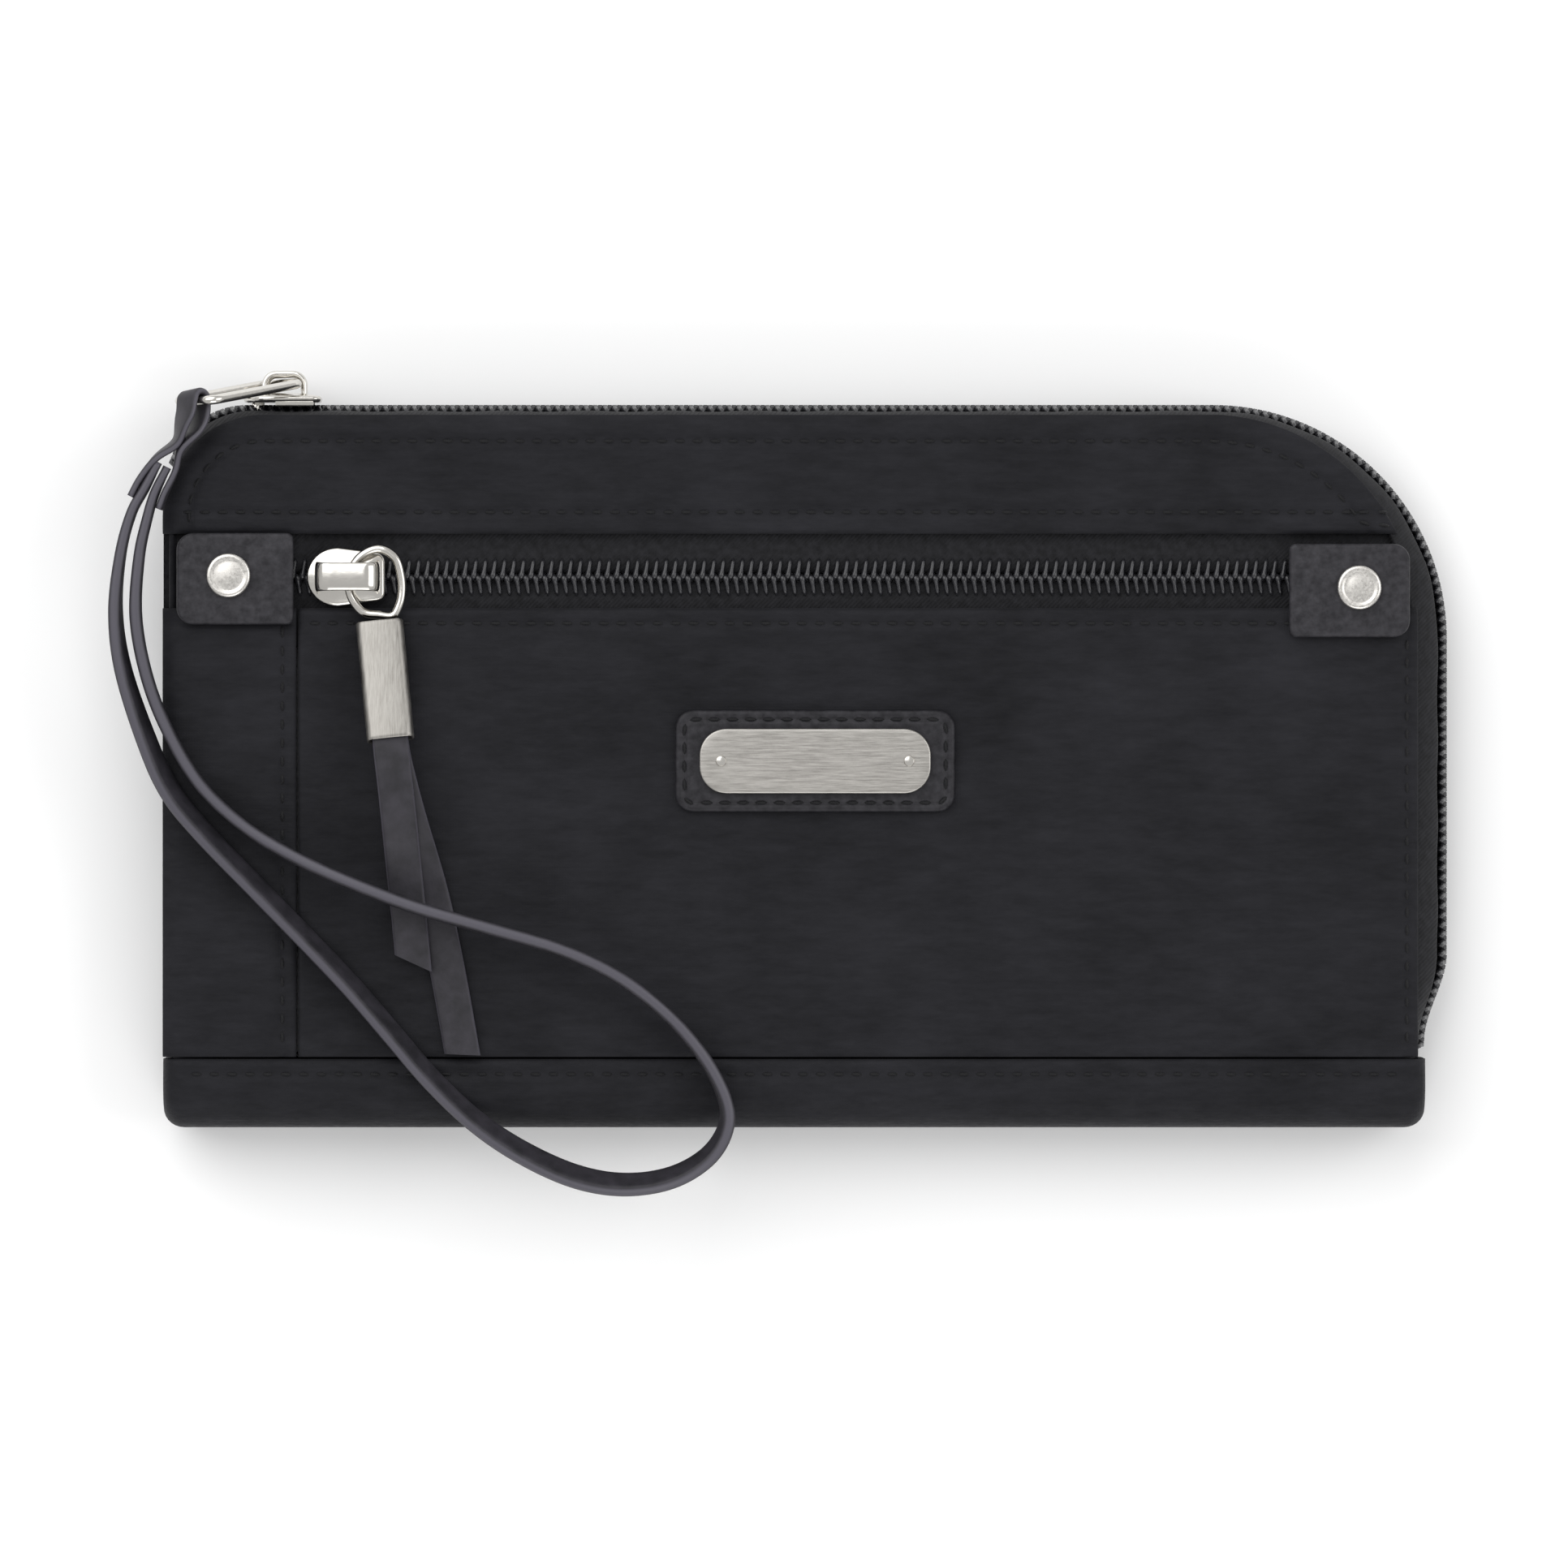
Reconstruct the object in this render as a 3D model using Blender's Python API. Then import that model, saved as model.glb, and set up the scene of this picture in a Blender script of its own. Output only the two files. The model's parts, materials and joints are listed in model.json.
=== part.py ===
"""Zippered pouch with a wrist strap, lying on its back. Metres, +Z up, +Y towards the zipped top edge.

The origin is on the flat back face, at the middle of the pouch. The back shell rests on the surface. The
front cover is hinged on the seam above the bottom band, and carries the pocket zipper and its slider. The
main zipper runs along the top edge and down the right side. Its slider carries the ring and the strap.
"""

import math

import bmesh
import bpy
import numpy as np
from mathutils import Matrix, Vector

MM = 0.001

# Driving dimensions, in millimetres
DEPTH = 20.0
LEFT, RIGHT, TOP, BOTTOM = -101.6, 96.2, 55.0, -57.4
RADIUS_TOP_LEFT, RADIUS_TOP_RIGHT = 16.0, 33.0
BAND_SEAM_Y = -46.5
SEAM_X = -80.5
SLOT_TOP_Y, SLOT_BOTTOM_Y = 36.2, 24.5
CLOTH = 1.0
GAP = 0.3

ZIP_TOP, ZIP_RIGHT = 56.8, 101.2
ZIP_START_DEG = 160.0
ZIP_RADIUS_TOP_LEFT, ZIP_RADIUS_TOP_RIGHT = 13.0, 37.0
ZIP_END = (97.6, -44.0)
ZIP_STRAIGHT_END_Y = -30.0
TAPE_INSET = 1.0
TAPE_THICKNESS = 0.7

COIL_WIDTH, COIL_THICKNESS = 2.4, 2.0
COIL_GAP_HALF = 0.6
TAPE_EDGE = COIL_GAP_HALF + COIL_WIDTH + GAP

POCKET_ZIP_Y, POCKET_ZIP_Z = 29.4, 18.2
POCKET_COIL_X = (-84.0, 80.0)

SLIDER_HALF_WIDTH, SLIDER_HALF_LENGTH = 4.5, 6.2
PLATE_INNER, PLATE_OUTER = 1.3, 2.5
LIP_START, LIP_LEVEL, POST_HALF_WIDTH = 3.4, 0.65, 0.3
CROWN_FOOT, CROWN_UNDER, CROWN_TOP = 2.8, 5.5, 6.4
MAIN_SLIDER_X, POCKET_SLIDER_X = -83.0, -72.7

TAB_THICKNESS = 1.6
LEFT_TAB = (-99.3, 21.9, -80.9, 36.3)
RIGHT_TAB = (75.8, 19.9, 94.8, 34.6)
LEFT_RIVET, RIGHT_RIVET = (-91.1, 29.6), (86.8, 27.7)
RIVET_RADIUS, RIVET_SHANK, RIVET_HOLE = 3.5, 1.2, 1.5

PATCH = (-20.8, -7.6, 23.2, 8.4)
PLATE_SIZE, PLATE_CENTRE = (36.4, 10.2), (1.2, 0.4)
PIN_SPACING, PIN_RADIUS, PIN_HOLE = 29.6, 0.7, 1.0

RING_EYE = Vector((MAIN_SLIDER_X, 60.1, DEPTH / 2))
RING_ALONG = Vector((-0.71, -0.16, 0.685)).normalized()
RING_ACROSS = Vector((0.694, 0.0, 0.720)).normalized()
RING_LENGTH, RING_HALF_WIDTH, RING_CORNER, RING_WIRE = 19.0, 4.3, 1.4, 0.75

POCKET_RING_Z, POCKET_RING_WIRE = 22.0, 0.65
TASSEL_BAR = Vector((-67.45, 23.4, POCKET_RING_Z))
TASSEL_TILT_DEG, TASSEL_TURN_DEG = 12.0, 5.8
FERRULE_WIDTH, FERRULE_HEIGHT, FERRULE_WALL = 7.4, 4.1, 0.4
FERRULE_START, FERRULE_END = 0.95, 20.2

STRAP_WIDTH, STRAP_THICKNESS = 4.6, 1.3
LACE_WIDTH, LACE_THICKNESS = 5.6, 1.2
STRAP_TAB_THICKNESS, STRAP_TAB_APART, STRAP_TAB_WIDEST = 1.1, 1.75, 2.35

# Inside pieces: the lowest and highest level of each layer, and how far it stays inside the outline
LINING_INSET, BAG_INSET = 4.0, 5.5
BACK_PADDING_LEVELS, BACK_LINING_LEVELS = (1.3, 2.3), (2.6, 3.2)
POCKET_BAG_LEVELS, FRONT_LINING_LEVELS = (14.8, 15.4), (13.4, 14.0)
CARD_SLOT_X, CARD_SLOT_WIDTH = (("left", -90.0), ("right", 2.0)), 88.0
CARD_SLOT_TOP, CARD_SLOT_FALL = 32.0, 16.0
CARD_SLOT_LOW, CARD_SLOT_STEP, CARD_SLOT_THICKNESS = 3.5, 0.9, 0.6
GUSSET_FOLD, BAND_BEVEL, BAND_HOLLOW_BEVEL = 6.0, 3.5, 2.6

# The wrist strap's route: x, y, z and how far its width leans from upright, in degrees
STRAP_ROUTE = [
    (-102.1, 47.4, 22.95, 4), (-104.2, 43.3, 22.9, 0), (-106.3, 39.4, 22.9, 0), (-108.0, 33.0, 22.9, 0),
    (-108.8, 24.0, 22.9, -5), (-107.6, 14.8, 22.9, -14), (-103.9, 3.6, 22.8, -24),
    (-100.2, -4.4, 22.8, -28), (-94.8, -11.1, 22.8, -28), (-87.0, -19.2, 22.8, -28),
    (-79.0, -27.4, 22.8, -28), (-71.8, -35.0, 22.8, -28), (-65.5, -42.3, 22.8, -28),
    (-59.2, -49.6, 22.8, -28), (-52.0, -56.4, 22.8, -30), (-44.4, -61.4, 22.7, -34),
    (-36.2, -65.0, 22.6, -36), (-28.5, -66.2, 22.6, -34), (-21.1, -65.0, 22.7, -30),
    (-15.4, -61.5, 22.8, -22), (-12.7, -56.6, 22.9, -12), (-13.4, -51.6, 23.3, -6),
    (-17.0, -45.2, 24.3, -4), (-22.6, -39.0, 24.9, -4), (-30.0, -33.4, 25.8, -4), (-39.0, -29.2, 26.0, -4),
    (-50.9, -25.7, 26.0, -4), (-61.6, -22.6, 26.0, -4), (-71.2, -19.0, 25.6, -4), (-80.1, -15.0, 24.4, -4),
    (-88.4, -10.0, 23.3, -2), (-95.4, -3.4, 22.9, 0), (-100.4, 4.8, 22.9, 0), (-103.8, 13.4, 22.9, 0),
    (-105.6, 23.0, 22.9, 0), (-105.1, 32.4, 22.9, 0), (-103.8, 38.6, 22.9, 0), (-102.6, 42.6, 22.9, 0),
    (-100.7, 46.6, 22.85, -4),
]

# The middle of the folded tab, from the ring's far bar to its free ends: x, y, z and lean
STRAP_TAB_ROUTE = [
    (-96.7, 54.6, 23.5, 36), (-98.1, 51.4, 23.6, 18), (-100.4, 47.9, 23.2, 6),
    (-102.9, 43.8, 22.9, 0), (-104.2, 41.0, 22.9, 0),
]

# The pocket slider's ring, seen from above
POCKET_RING_BEND = [
    (-71.95, 26.6), (-72.2, 29.4), (-70.6, 32.3), (-67.6, 33.8), (-64.9, 32.4), (-63.9, 29.2),
    (-63.9, 26.2), (-64.7, 23.9), (-65.6, 23.2), (-67.45, 23.4), (-69.3, 23.6), (-70.6, 24.4),
]

# The two laces' routes, from inside the ferrule to their free ends
LACE_BACK_ROUTE = [
    (-67.15, 20.5, 21.87), (-66.2, 11.2, 23.84), (-65.3, 2.4, 25.4), (-64.0, -3.5, 25.5),
    (-62.4, -9.5, 24.2), (-60.8, -15.0, 22.4), (-59.4, -20.0, 21.3), (-58.0, -26.0, 20.95),
    (-56.2, -35.0, 20.9), (-54.3, -45.8, 20.9),
]
LACE_FRONT_ROUTE = [
    (-67.15, 20.8, 23.34), (-66.2, 11.5, 25.31), (-65.4, 2.6, 26.95), (-64.7, -3.5, 27.1),
    (-64.1, -9.5, 25.8), (-63.6, -15.0, 23.95), (-63.1, -20.0, 22.85), (-62.6, -25.0, 22.45),
    (-62.0, -31.4, 22.4),
]

FABRIC = ("black_nylon", (0.035, 0.035, 0.04), 0.75, 0.0)
LINING = ("grey_lining", (0.22, 0.22, 0.24), 0.8, 0.0)
FOAM = ("foam", (0.5, 0.5, 0.5), 0.9, 0.0)
TAPE = ("zip_tape", (0.03, 0.03, 0.033), 0.7, 0.0)
COIL = ("zip_coil", (0.04, 0.04, 0.043), 0.4, 0.0)
LEATHER = ("black_leather", (0.05, 0.05, 0.055), 0.55, 0.0)
NICKEL = ("nickel", (0.72, 0.70, 0.67), 0.25, 1.0)


def clear_scene():
    for thing in list(bpy.data.objects):
        bpy.data.objects.remove(thing)


def finish_material(thing, finish):
    """Gives an object its own Principled material."""
    label, colour, roughness, metallic = finish
    made = bpy.data.materials.new(f"{thing.name}_{label}")
    made.use_nodes = True
    shader = made.node_tree.nodes["Principled BSDF"]
    shader.inputs["Base Color"].default_value = (*colour, 1.0)
    shader.inputs["Roughness"].default_value = roughness
    shader.inputs["Metallic"].default_value = metallic
    made.diffuse_color = (*colour, 1.0)
    thing.data.materials.append(made)


def new_object(name, data, finish, parent=None):
    thing = bpy.data.objects.new(name, data)
    bpy.context.scene.collection.objects.link(thing)
    finish_material(thing, finish)
    thing.parent = parent
    return thing


def mesh_object(name, points, faces, finish, parent=None):
    """A mesh from points in millimetres, with its faces turned outwards."""
    data = bpy.data.meshes.new(name)
    places = [tuple(float(c) * MM for c in point) for point in points]
    data.from_pydata(places, [], [list(map(int, face)) for face in faces])
    shape = bmesh.new()
    shape.from_mesh(data)
    bmesh.ops.recalc_face_normals(shape, faces=shape.faces)
    shape.to_mesh(data)
    shape.free()
    return new_object(name, data, finish, parent)


def cutter(name, points, faces):
    tool = mesh_object(name, points, faces, FOAM)
    tool.hide_render = True
    tool.display_type = "WIRE"
    return tool


def boolean(thing, tool, operation="DIFFERENCE"):
    step = thing.modifiers.new(tool.name, "BOOLEAN")
    step.operation = operation
    step.solver = "EXACT"
    step.object = tool


def bevel(thing, width, segments=2):
    step = thing.modifiers.new("edge", "BEVEL")
    step.width = width * MM
    step.segments = segments
    step.limit_method = "ANGLE"
    step.angle_limit = math.radians(50)


def arc(centre_x, centre_y, radius, start_deg, end_deg, count):
    """Points on an arc, both ends included."""
    angles = np.radians(np.linspace(start_deg, end_deg, count))
    return [(centre_x + radius * math.cos(a), centre_y + radius * math.sin(a)) for a in angles]


def rounded_box(low_x, low_y, high_x, high_y, radii, count=5):
    """A rectangle with one radius for each corner: bottom left, bottom right, top right, top left."""
    corners = [
        (low_x, low_y, 1, 1, 180), (high_x, low_y, -1, 1, 270),
        (high_x, high_y, -1, -1, 0), (low_x, high_y, 1, -1, 90),
    ]
    outline = []
    for (x, y, right, up, start), radius in zip(corners, radii):
        outline += arc(x + right * radius, y + up * radius, radius, start, start + 90, count)
    return outline


def prism(outline, low, high):
    """Points and faces of an outline raised from low to high."""
    count = len(outline)
    points = [(x, y, low) for x, y in outline] + [(x, y, high) for x, y in outline]
    walls = [(i, (i + 1) % count, count + (i + 1) % count, count + i) for i in range(count)]
    return points, [tuple(range(count))[::-1], tuple(range(count, 2 * count)), *walls]


def sheet(name, outline, low, high, finish, parent, edge=0.0):
    """A flat piece of cloth, leather or metal."""
    made = mesh_object(name, *prism(outline, low, high), finish, parent)
    if edge:
        bevel(made, edge)
    return made


def disc(name, x, y, radius, low, high, finish=None, parent=None, count=20):
    outline = arc(x, y, radius, 0, 360 - 360 / count, count)
    if finish is None:
        return cutter(name, *prism(outline, low, high))
    return sheet(name, outline, low, high, finish, parent)


def smooth_line(controls, count):
    """Evenly spaced points on the Catmull-Rom curve through the controls."""
    p = np.array(controls, float)
    p = np.vstack([2 * p[0] - p[1], p, 2 * p[-1] - p[-2]])
    t = np.linspace(0, 1, 24, endpoint=False)[:, None]
    spans = []
    for a, b, c, d in zip(p[:-3], p[1:-2], p[2:-1], p[3:]):
        squared, cubed = 2 * a - 5 * b + 4 * c - d, 3 * b - a - 3 * c + d
        spans.append(0.5 * (2 * b + (c - a) * t + squared * t**2 + cubed * t**3))
    fine = np.vstack([*spans, p[-2]])
    along = np.r_[0, np.cumsum(np.linalg.norm(np.diff(fine[:, :3], axis=0), axis=1))]
    wanted = np.linspace(0, along[-1], count)
    return np.column_stack([np.interp(wanted, along, fine[:, k]) for k in range(p.shape[1])])


def directions(line):
    """For each point of a line: forwards, level to the left, and up across both."""
    forward = np.gradient(line, axis=0)
    forward /= np.linalg.norm(forward, axis=1)[:, None]
    left = np.cross([0.0, 0.0, 1.0], forward)
    left /= np.linalg.norm(left, axis=1)[:, None]
    return forward, left, np.cross(forward, left)


def ribbon(name, line, lean_deg, width, thickness, finish, parent):
    """A strip along a line. Its width stands upright at lean 0, and leans to the left by the lean angle."""
    forward, left, up = directions(line)
    lean = np.radians(np.broadcast_to(lean_deg, len(line)))[:, None]
    across = np.cos(lean) * up + np.sin(lean) * left
    through = np.cos(lean) * left - np.sin(lean) * up
    rings = corners(line, across * width / 2, through * thickness / 2)
    return mesh_object(name, rings, tube_faces(len(line), 4), finish, parent)


def corners(line, half_width, half_thickness):
    """The four corners of a flat section at each point of a line, as one list of points."""
    signs = ((-1, -1), (1, -1), (1, 1), (-1, 1))
    rings = np.stack([line + u * half_width + v * half_thickness for u, v in signs], 1)
    return rings.reshape(-1, 3)


def tube_faces(rings, sides):
    """Faces of a closed tube of rings, each with the same number of points."""
    faces = [tuple(range(sides))[::-1], tuple(range((rings - 1) * sides, rings * sides))]
    for i in range(rings - 1):
        for k in range(sides):
            n = (k + 1) % sides
            faces.append((i * sides + k, i * sides + n, (i + 1) * sides + n, (i + 1) * sides + k))
    return faces


def wall(name, rows, thickness, finish, parent):
    """A strip through rows of points, thickened on both sides."""
    count = len(rows[0])
    faces = [
        (r * count + i, r * count + i + 1, (r + 1) * count + i + 1, (r + 1) * count + i)
        for r in range(len(rows) - 1)
        for i in range(count - 1)
    ]
    made = mesh_object(name, np.vstack(rows), faces, finish, parent)
    step = made.modifiers.new("thickness", "SOLIDIFY")
    step.thickness = thickness * MM
    step.offset = 0.0
    return made


def wire_ring(name, line, radius, finish, parent, resolution=2):
    """A closed ring of round wire along a line."""
    data = bpy.data.curves.new(name, "CURVE")
    data.dimensions = "3D"
    data.bevel_depth = radius * MM
    data.bevel_resolution = resolution
    spline = data.splines.new("POLY")
    spline.points.add(len(line) - 1)
    for point, place in zip(spline.points, line):
        point.co = (*[float(c) * MM for c in place], 1.0)
    spline.use_cyclic_u = True
    return new_object(name, data, finish, parent)


def panel_outline(inset=0.0, low_y=BAND_SEAM_Y + GAP, count=12):
    """The outline of the pouch above the bottom band, moved inwards by inset."""
    left, right, top = LEFT + inset, RIGHT - inset, TOP - inset
    big, small = RADIUS_TOP_RIGHT - inset, RADIUS_TOP_LEFT - inset
    return [
        (left, low_y), (right, low_y),
        *arc(right - big, top - big, big, 0, 90, count),
        *arc(left + small, top - small, small, 90, 180, count // 2 + 1),
    ]


def edge_path(left_x, top_y, small, right_x, big, end):
    """The plan line of the zipped edge: round the top left corner, along the top, down the right side."""
    down = ZIP_STRAIGHT_END_Y
    path = arc(left_x + small, top_y - small, small, ZIP_START_DEG, 90, 8)
    path += arc(right_x - big, top_y - big, big, 90, 0, 14)
    for share in np.linspace(0, 1, 6):
        ease = share * share * (3 - 2 * share)
        path.append((right_x + (end[0] - right_x) * ease, down + (end[1] - down) * share))
    return np.array(path)


def coil_path():
    """The outer face of the main zipper's coil."""
    return edge_path(LEFT, ZIP_TOP, ZIP_RADIUS_TOP_LEFT, ZIP_RIGHT, ZIP_RADIUS_TOP_RIGHT, ZIP_END)


def cloth_path():
    """The line under the cloth's edge that the zipper tape is sewn to."""
    return edge_path(
        LEFT + TAPE_INSET, TOP - TAPE_INSET, RADIUS_TOP_LEFT - TAPE_INSET,
        RIGHT - TAPE_INSET, RADIUS_TOP_RIGHT - TAPE_INSET, (RIGHT - TAPE_INSET, ZIP_END[1]),
    )


def inwards(path, distance):
    """A plan line moved to its right-hand side, which is towards the middle of the pouch."""
    step = np.gradient(path, axis=0)
    step /= np.linalg.norm(step, axis=1)[:, None]
    return path + distance * np.column_stack([step[:, 1], -step[:, 0]])


def main_zip_half(side, front, parent):
    """The tape and the coil of one half of the main zipper. side is 1 for the front and -1 for the back."""
    middle = DEPTH / 2
    outer, inner = inwards(coil_path(), COIL_THICKNESS / 2), cloth_path()
    rows = []
    for share in (0.0, 0.25, 0.6, 1.0):
        z = middle + side * (TAPE_EDGE + share * (DEPTH / 2 - CLOTH - GAP - TAPE_EDGE))
        plan = outer + (inner - outer) * share**2
        rows.append(np.column_stack([plan, np.full(len(plan), z)]))
    wall(f"main_zip_tape_{front}", rows, TAPE_THICKNESS, TAPE, parent)
    level = middle + side * (COIL_GAP_HALF + COIL_WIDTH / 2)
    line = np.column_stack([outer, np.full(len(outer), level)])
    ribbon(f"main_zip_coil_{front}", line, 0.0, COIL_WIDTH, COIL_THICKNESS, COIL, parent)


def left_gusset(parent):
    """The folded side wall, a V that points into the pouch, from the band to the start of the zipper."""
    inset = LEFT + TAPE_INSET
    radius = RADIUS_TOP_LEFT - TAPE_INSET
    plan = [(inset, y) for y in np.linspace(BAND_SEAM_Y + 0.6, TOP - RADIUS_TOP_LEFT, 6)]
    plan += arc(inset + radius, TOP - RADIUS_TOP_LEFT, radius, 180, ZIP_START_DEG + 5, 4)[1:]
    plan, low, high = np.array(plan), CLOTH + GAP, DEPTH - CLOTH - GAP
    rows = []
    for share in np.linspace(0, 1, 5):
        depth = GUSSET_FOLD * (1 - abs(2 * share - 1))
        rows.append(np.column_stack([inwards(plan, depth), np.full(len(plan), low + (high - low) * share)]))
    wall("left_gusset", rows, TAPE_THICKNESS, FABRIC, parent)


def bottom_band(parent):
    """The cloth band wrapped round the bottom edge: a trough that opens upwards, with the hinge seam on it."""
    reach = 8.0
    right = ZIP_END[0] - 0.2
    outline = [(LEFT, BOTTOM), (right, BOTTOM), (right, BAND_SEAM_Y + reach), (LEFT, BAND_SEAM_Y + reach)]
    band = mesh_object("bottom_band", *prism(outline, 0, DEPTH), FABRIC, parent)
    bevel(band, BAND_BEVEL, 4)
    hollow = [
        (LEFT + CLOTH, BOTTOM + CLOTH), (right - CLOTH, BOTTOM + CLOTH),
        (right - CLOTH, BAND_SEAM_Y + 1.0), (LEFT + CLOTH, BAND_SEAM_Y + 1.0),
    ]
    inside = cutter("band_hollow", *prism(hollow, CLOTH, DEPTH - CLOTH))
    bevel(inside, BAND_HOLLOW_BEVEL, 4)
    boolean(band, inside)
    beyond = [(LEFT - 5, BAND_SEAM_Y), (right + 5, BAND_SEAM_Y), (right + 5, 0), (LEFT - 5, 0)]
    boolean(band, cutter("band_mouth", *prism(beyond, -5, DEPTH + 5)))


def back_shell(parent):
    """What rests on the surface: the back, its padding and lining, the card slots and the band."""
    sheet("back_panel", panel_outline(), 0, CLOTH, FABRIC, parent)
    inner = panel_outline(LINING_INSET, BAND_SEAM_Y + 1.0)
    sheet("back_padding", inner, *BACK_PADDING_LEVELS, FOAM, parent)
    sheet("back_lining", inner, *BACK_LINING_LEVELS, LINING, parent)
    for side, start in CARD_SLOT_X:
        for step in range(3):
            low, top = CARD_SLOT_LOW + CARD_SLOT_STEP * step, CARD_SLOT_TOP - CARD_SLOT_FALL * step
            end = start + CARD_SLOT_WIDTH
            outline = rounded_box(start, BAND_SEAM_Y + 1.0, end, top, (1, 1, 2, 2), 3)
            sheet(f"card_slot_{side}_{step + 1}", outline, low, low + CARD_SLOT_THICKNESS, LINING, parent)
    main_zip_half(-1, "back", parent)
    left_gusset(parent)
    bottom_band(parent)
    ending = rounded_box(93.2, BAND_SEAM_Y + 1.0, 94.4, -37.0, (0.3,) * 4, 3)
    sheet("zip_end_tab", ending, 6.4, 13.6, FABRIC, parent)


def cover_panels(parent):
    """The three outer panels of the front cover."""
    level = (DEPTH - CLOTH, DEPTH)
    big, small = RADIUS_TOP_RIGHT, RADIUS_TOP_LEFT
    corner_y = TOP - big
    start_deg = math.degrees(math.asin((SLOT_TOP_Y - corner_y) / big))
    upper = [
        (LEFT, SLOT_TOP_Y),
        *arc(RIGHT - big, corner_y, big, start_deg, 90, 10),
        *arc(LEFT + small, TOP - small, small, 90, 180, 7),
    ]
    sheet("upper_panel", upper, *level, FABRIC, parent)
    low = BAND_SEAM_Y + GAP
    pocket = rounded_box(SEAM_X + GAP, low, RIGHT, SLOT_BOTTOM_Y, (0.2, 0.2, 0.2, 0.2), 2)
    panel = sheet("pocket_panel", pocket, *level, FABRIC, parent)
    for side, x in pin_places():
        boolean(panel, disc(f"panel_hole_{side}", x, PLATE_CENTRE[1], PIN_HOLE, DEPTH - 3, DEPTH + 1))
    left = rounded_box(LEFT, low, SEAM_X, SLOT_BOTTOM_Y, (0.2,) * 4, 2)
    sheet("left_panel", left, *level, FABRIC, parent)


def pin_places():
    """The nameplate's two pins: side and x."""
    half = PIN_SPACING / 2
    return (("left", PLATE_CENTRE[0] - half), ("right", PLATE_CENTRE[0] + half))


def pocket_zip(parent):
    """The pocket zipper's tapes and coils, behind the slot between the cover's panels."""
    for side, name in ((1, "upper"), (-1, "lower")):
        tape_low, tape_high = sorted(POCKET_ZIP_Y + side * y for y in (TAPE_EDGE, TAPE_EDGE + 7.8))
        outline = rounded_box(LEFT + 2.4, tape_low, 88.0, tape_high, (0.2,) * 4, 2)
        sheet(f"pocket_zip_tape_{name}", outline, POCKET_ZIP_Z - 0.3, POCKET_ZIP_Z + 0.3, TAPE, parent)
        row = sorted(POCKET_ZIP_Y + side * y for y in (COIL_GAP_HALF, COIL_GAP_HALF + COIL_WIDTH))
        outline = [(POCKET_COIL_X[0], row[0]), (POCKET_COIL_X[1], row[0]), (POCKET_COIL_X[1], row[1])]
        outline.append((POCKET_COIL_X[0], row[1]))
        half = COIL_THICKNESS / 2
        sheet(f"pocket_zip_coil_{name}", outline, POCKET_ZIP_Z - half, POCKET_ZIP_Z + half, COIL, parent)


def leather_tab(side, box, rivet, parent):
    """A leather tab over one end of the pocket zipper, with its rivet and the washer behind it."""
    low = DEPTH + GAP
    radii = (2.4, 1.0, 1.0, 2.4) if side == "left" else (1.0, 2.4, 2.4, 1.0)
    tab = sheet(f"{side}_tab", rounded_box(*box, radii, 4), low, low + TAB_THICKNESS, LEATHER, parent, 0.3)
    boolean(tab, disc(f"{side}_tab_hole", *rivet, RIVET_HOLE, low - 1, low + TAB_THICKNESS + 1))
    cap = low + TAB_THICKNESS + GAP
    heights = [(RIVET_SHANK, 16.9), (RIVET_SHANK, cap), (RIVET_RADIUS, cap), (RIVET_RADIUS, cap + 0.4)]
    for angle in np.radians([35, 60, 80]):
        heights.append((RIVET_RADIUS * math.cos(angle), cap + 0.4 + 0.8 * math.sin(angle)))
    turned(f"{side}_rivet", rivet, heights, parent)
    washer = disc(f"{side}_rivet_washer", *rivet, 5.0, 16.8, 17.6, NICKEL, parent, 24)
    boolean(washer, disc(f"{side}_washer_hole", *rivet, RIVET_HOLE, 16, 18.5))


def turned(name, centre, profile, parent, sides=20):
    """A solid turned about the upright line through centre, from (radius, z) pairs, lowest first."""
    rings = [[(centre[0] + r * math.cos(a), centre[1] + r * math.sin(a), z)
              for a in np.linspace(0, 2 * math.pi, sides, endpoint=False)] for r, z in profile]
    points = np.array(rings).reshape(-1, 3)
    made = mesh_object(name, points, tube_faces(len(profile), sides), NICKEL, parent)
    made.data.shade_smooth()
    made.data.set_sharp_from_angle(angle=math.radians(40))


def nameplate(parent):
    """The leather patch, the blank metal plate on it, and the plate's two pins."""
    low = DEPTH + GAP
    patch = sheet("name_patch", rounded_box(*PATCH, (2.6,) * 4, 5), low, low + 1.2, LEATHER, parent, 0.3)
    (width, height), (x, y) = PLATE_SIZE, PLATE_CENTRE
    box = (x - width / 2, y - height / 2, x + width / 2, y + height / 2)
    plate_low = low + 1.2 + GAP
    outline = rounded_box(*box, (4.2,) * 4, 7)
    plate = sheet("nameplate", outline, plate_low, plate_low + 0.9, NICKEL, parent, 0.2)
    for side, pin_x in pin_places():
        hole = disc(f"plate_hole_{side}", pin_x, y, PIN_HOLE, low - 1, plate_low + 2)
        boolean(patch, hole)
        boolean(plate, hole)
        top = plate_low + 0.9
        profile = [(PIN_RADIUS, 18.5), (PIN_RADIUS, top), (PIN_RADIUS * 0.6, top + 0.2)]
        turned(f"nameplate_pin_{side}", (pin_x, y), profile, parent, 12)


def front_cover(parent):
    """What lifts when the pouch opens."""
    cover_panels(parent)
    pocket_zip(parent)
    leather_tab("left", LEFT_TAB, LEFT_RIVET, parent)
    leather_tab("right", RIGHT_TAB, RIGHT_RIVET, parent)
    nameplate(parent)
    inner = panel_outline(BAG_INSET, BAND_SEAM_Y + 1.0)
    sheet("pocket_bag", inner, *POCKET_BAG_LEVELS, LINING, parent)
    sheet("front_lining", inner, *FRONT_LINING_LEVELS, LINING, parent)
    main_zip_half(1, "front", parent)


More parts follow.
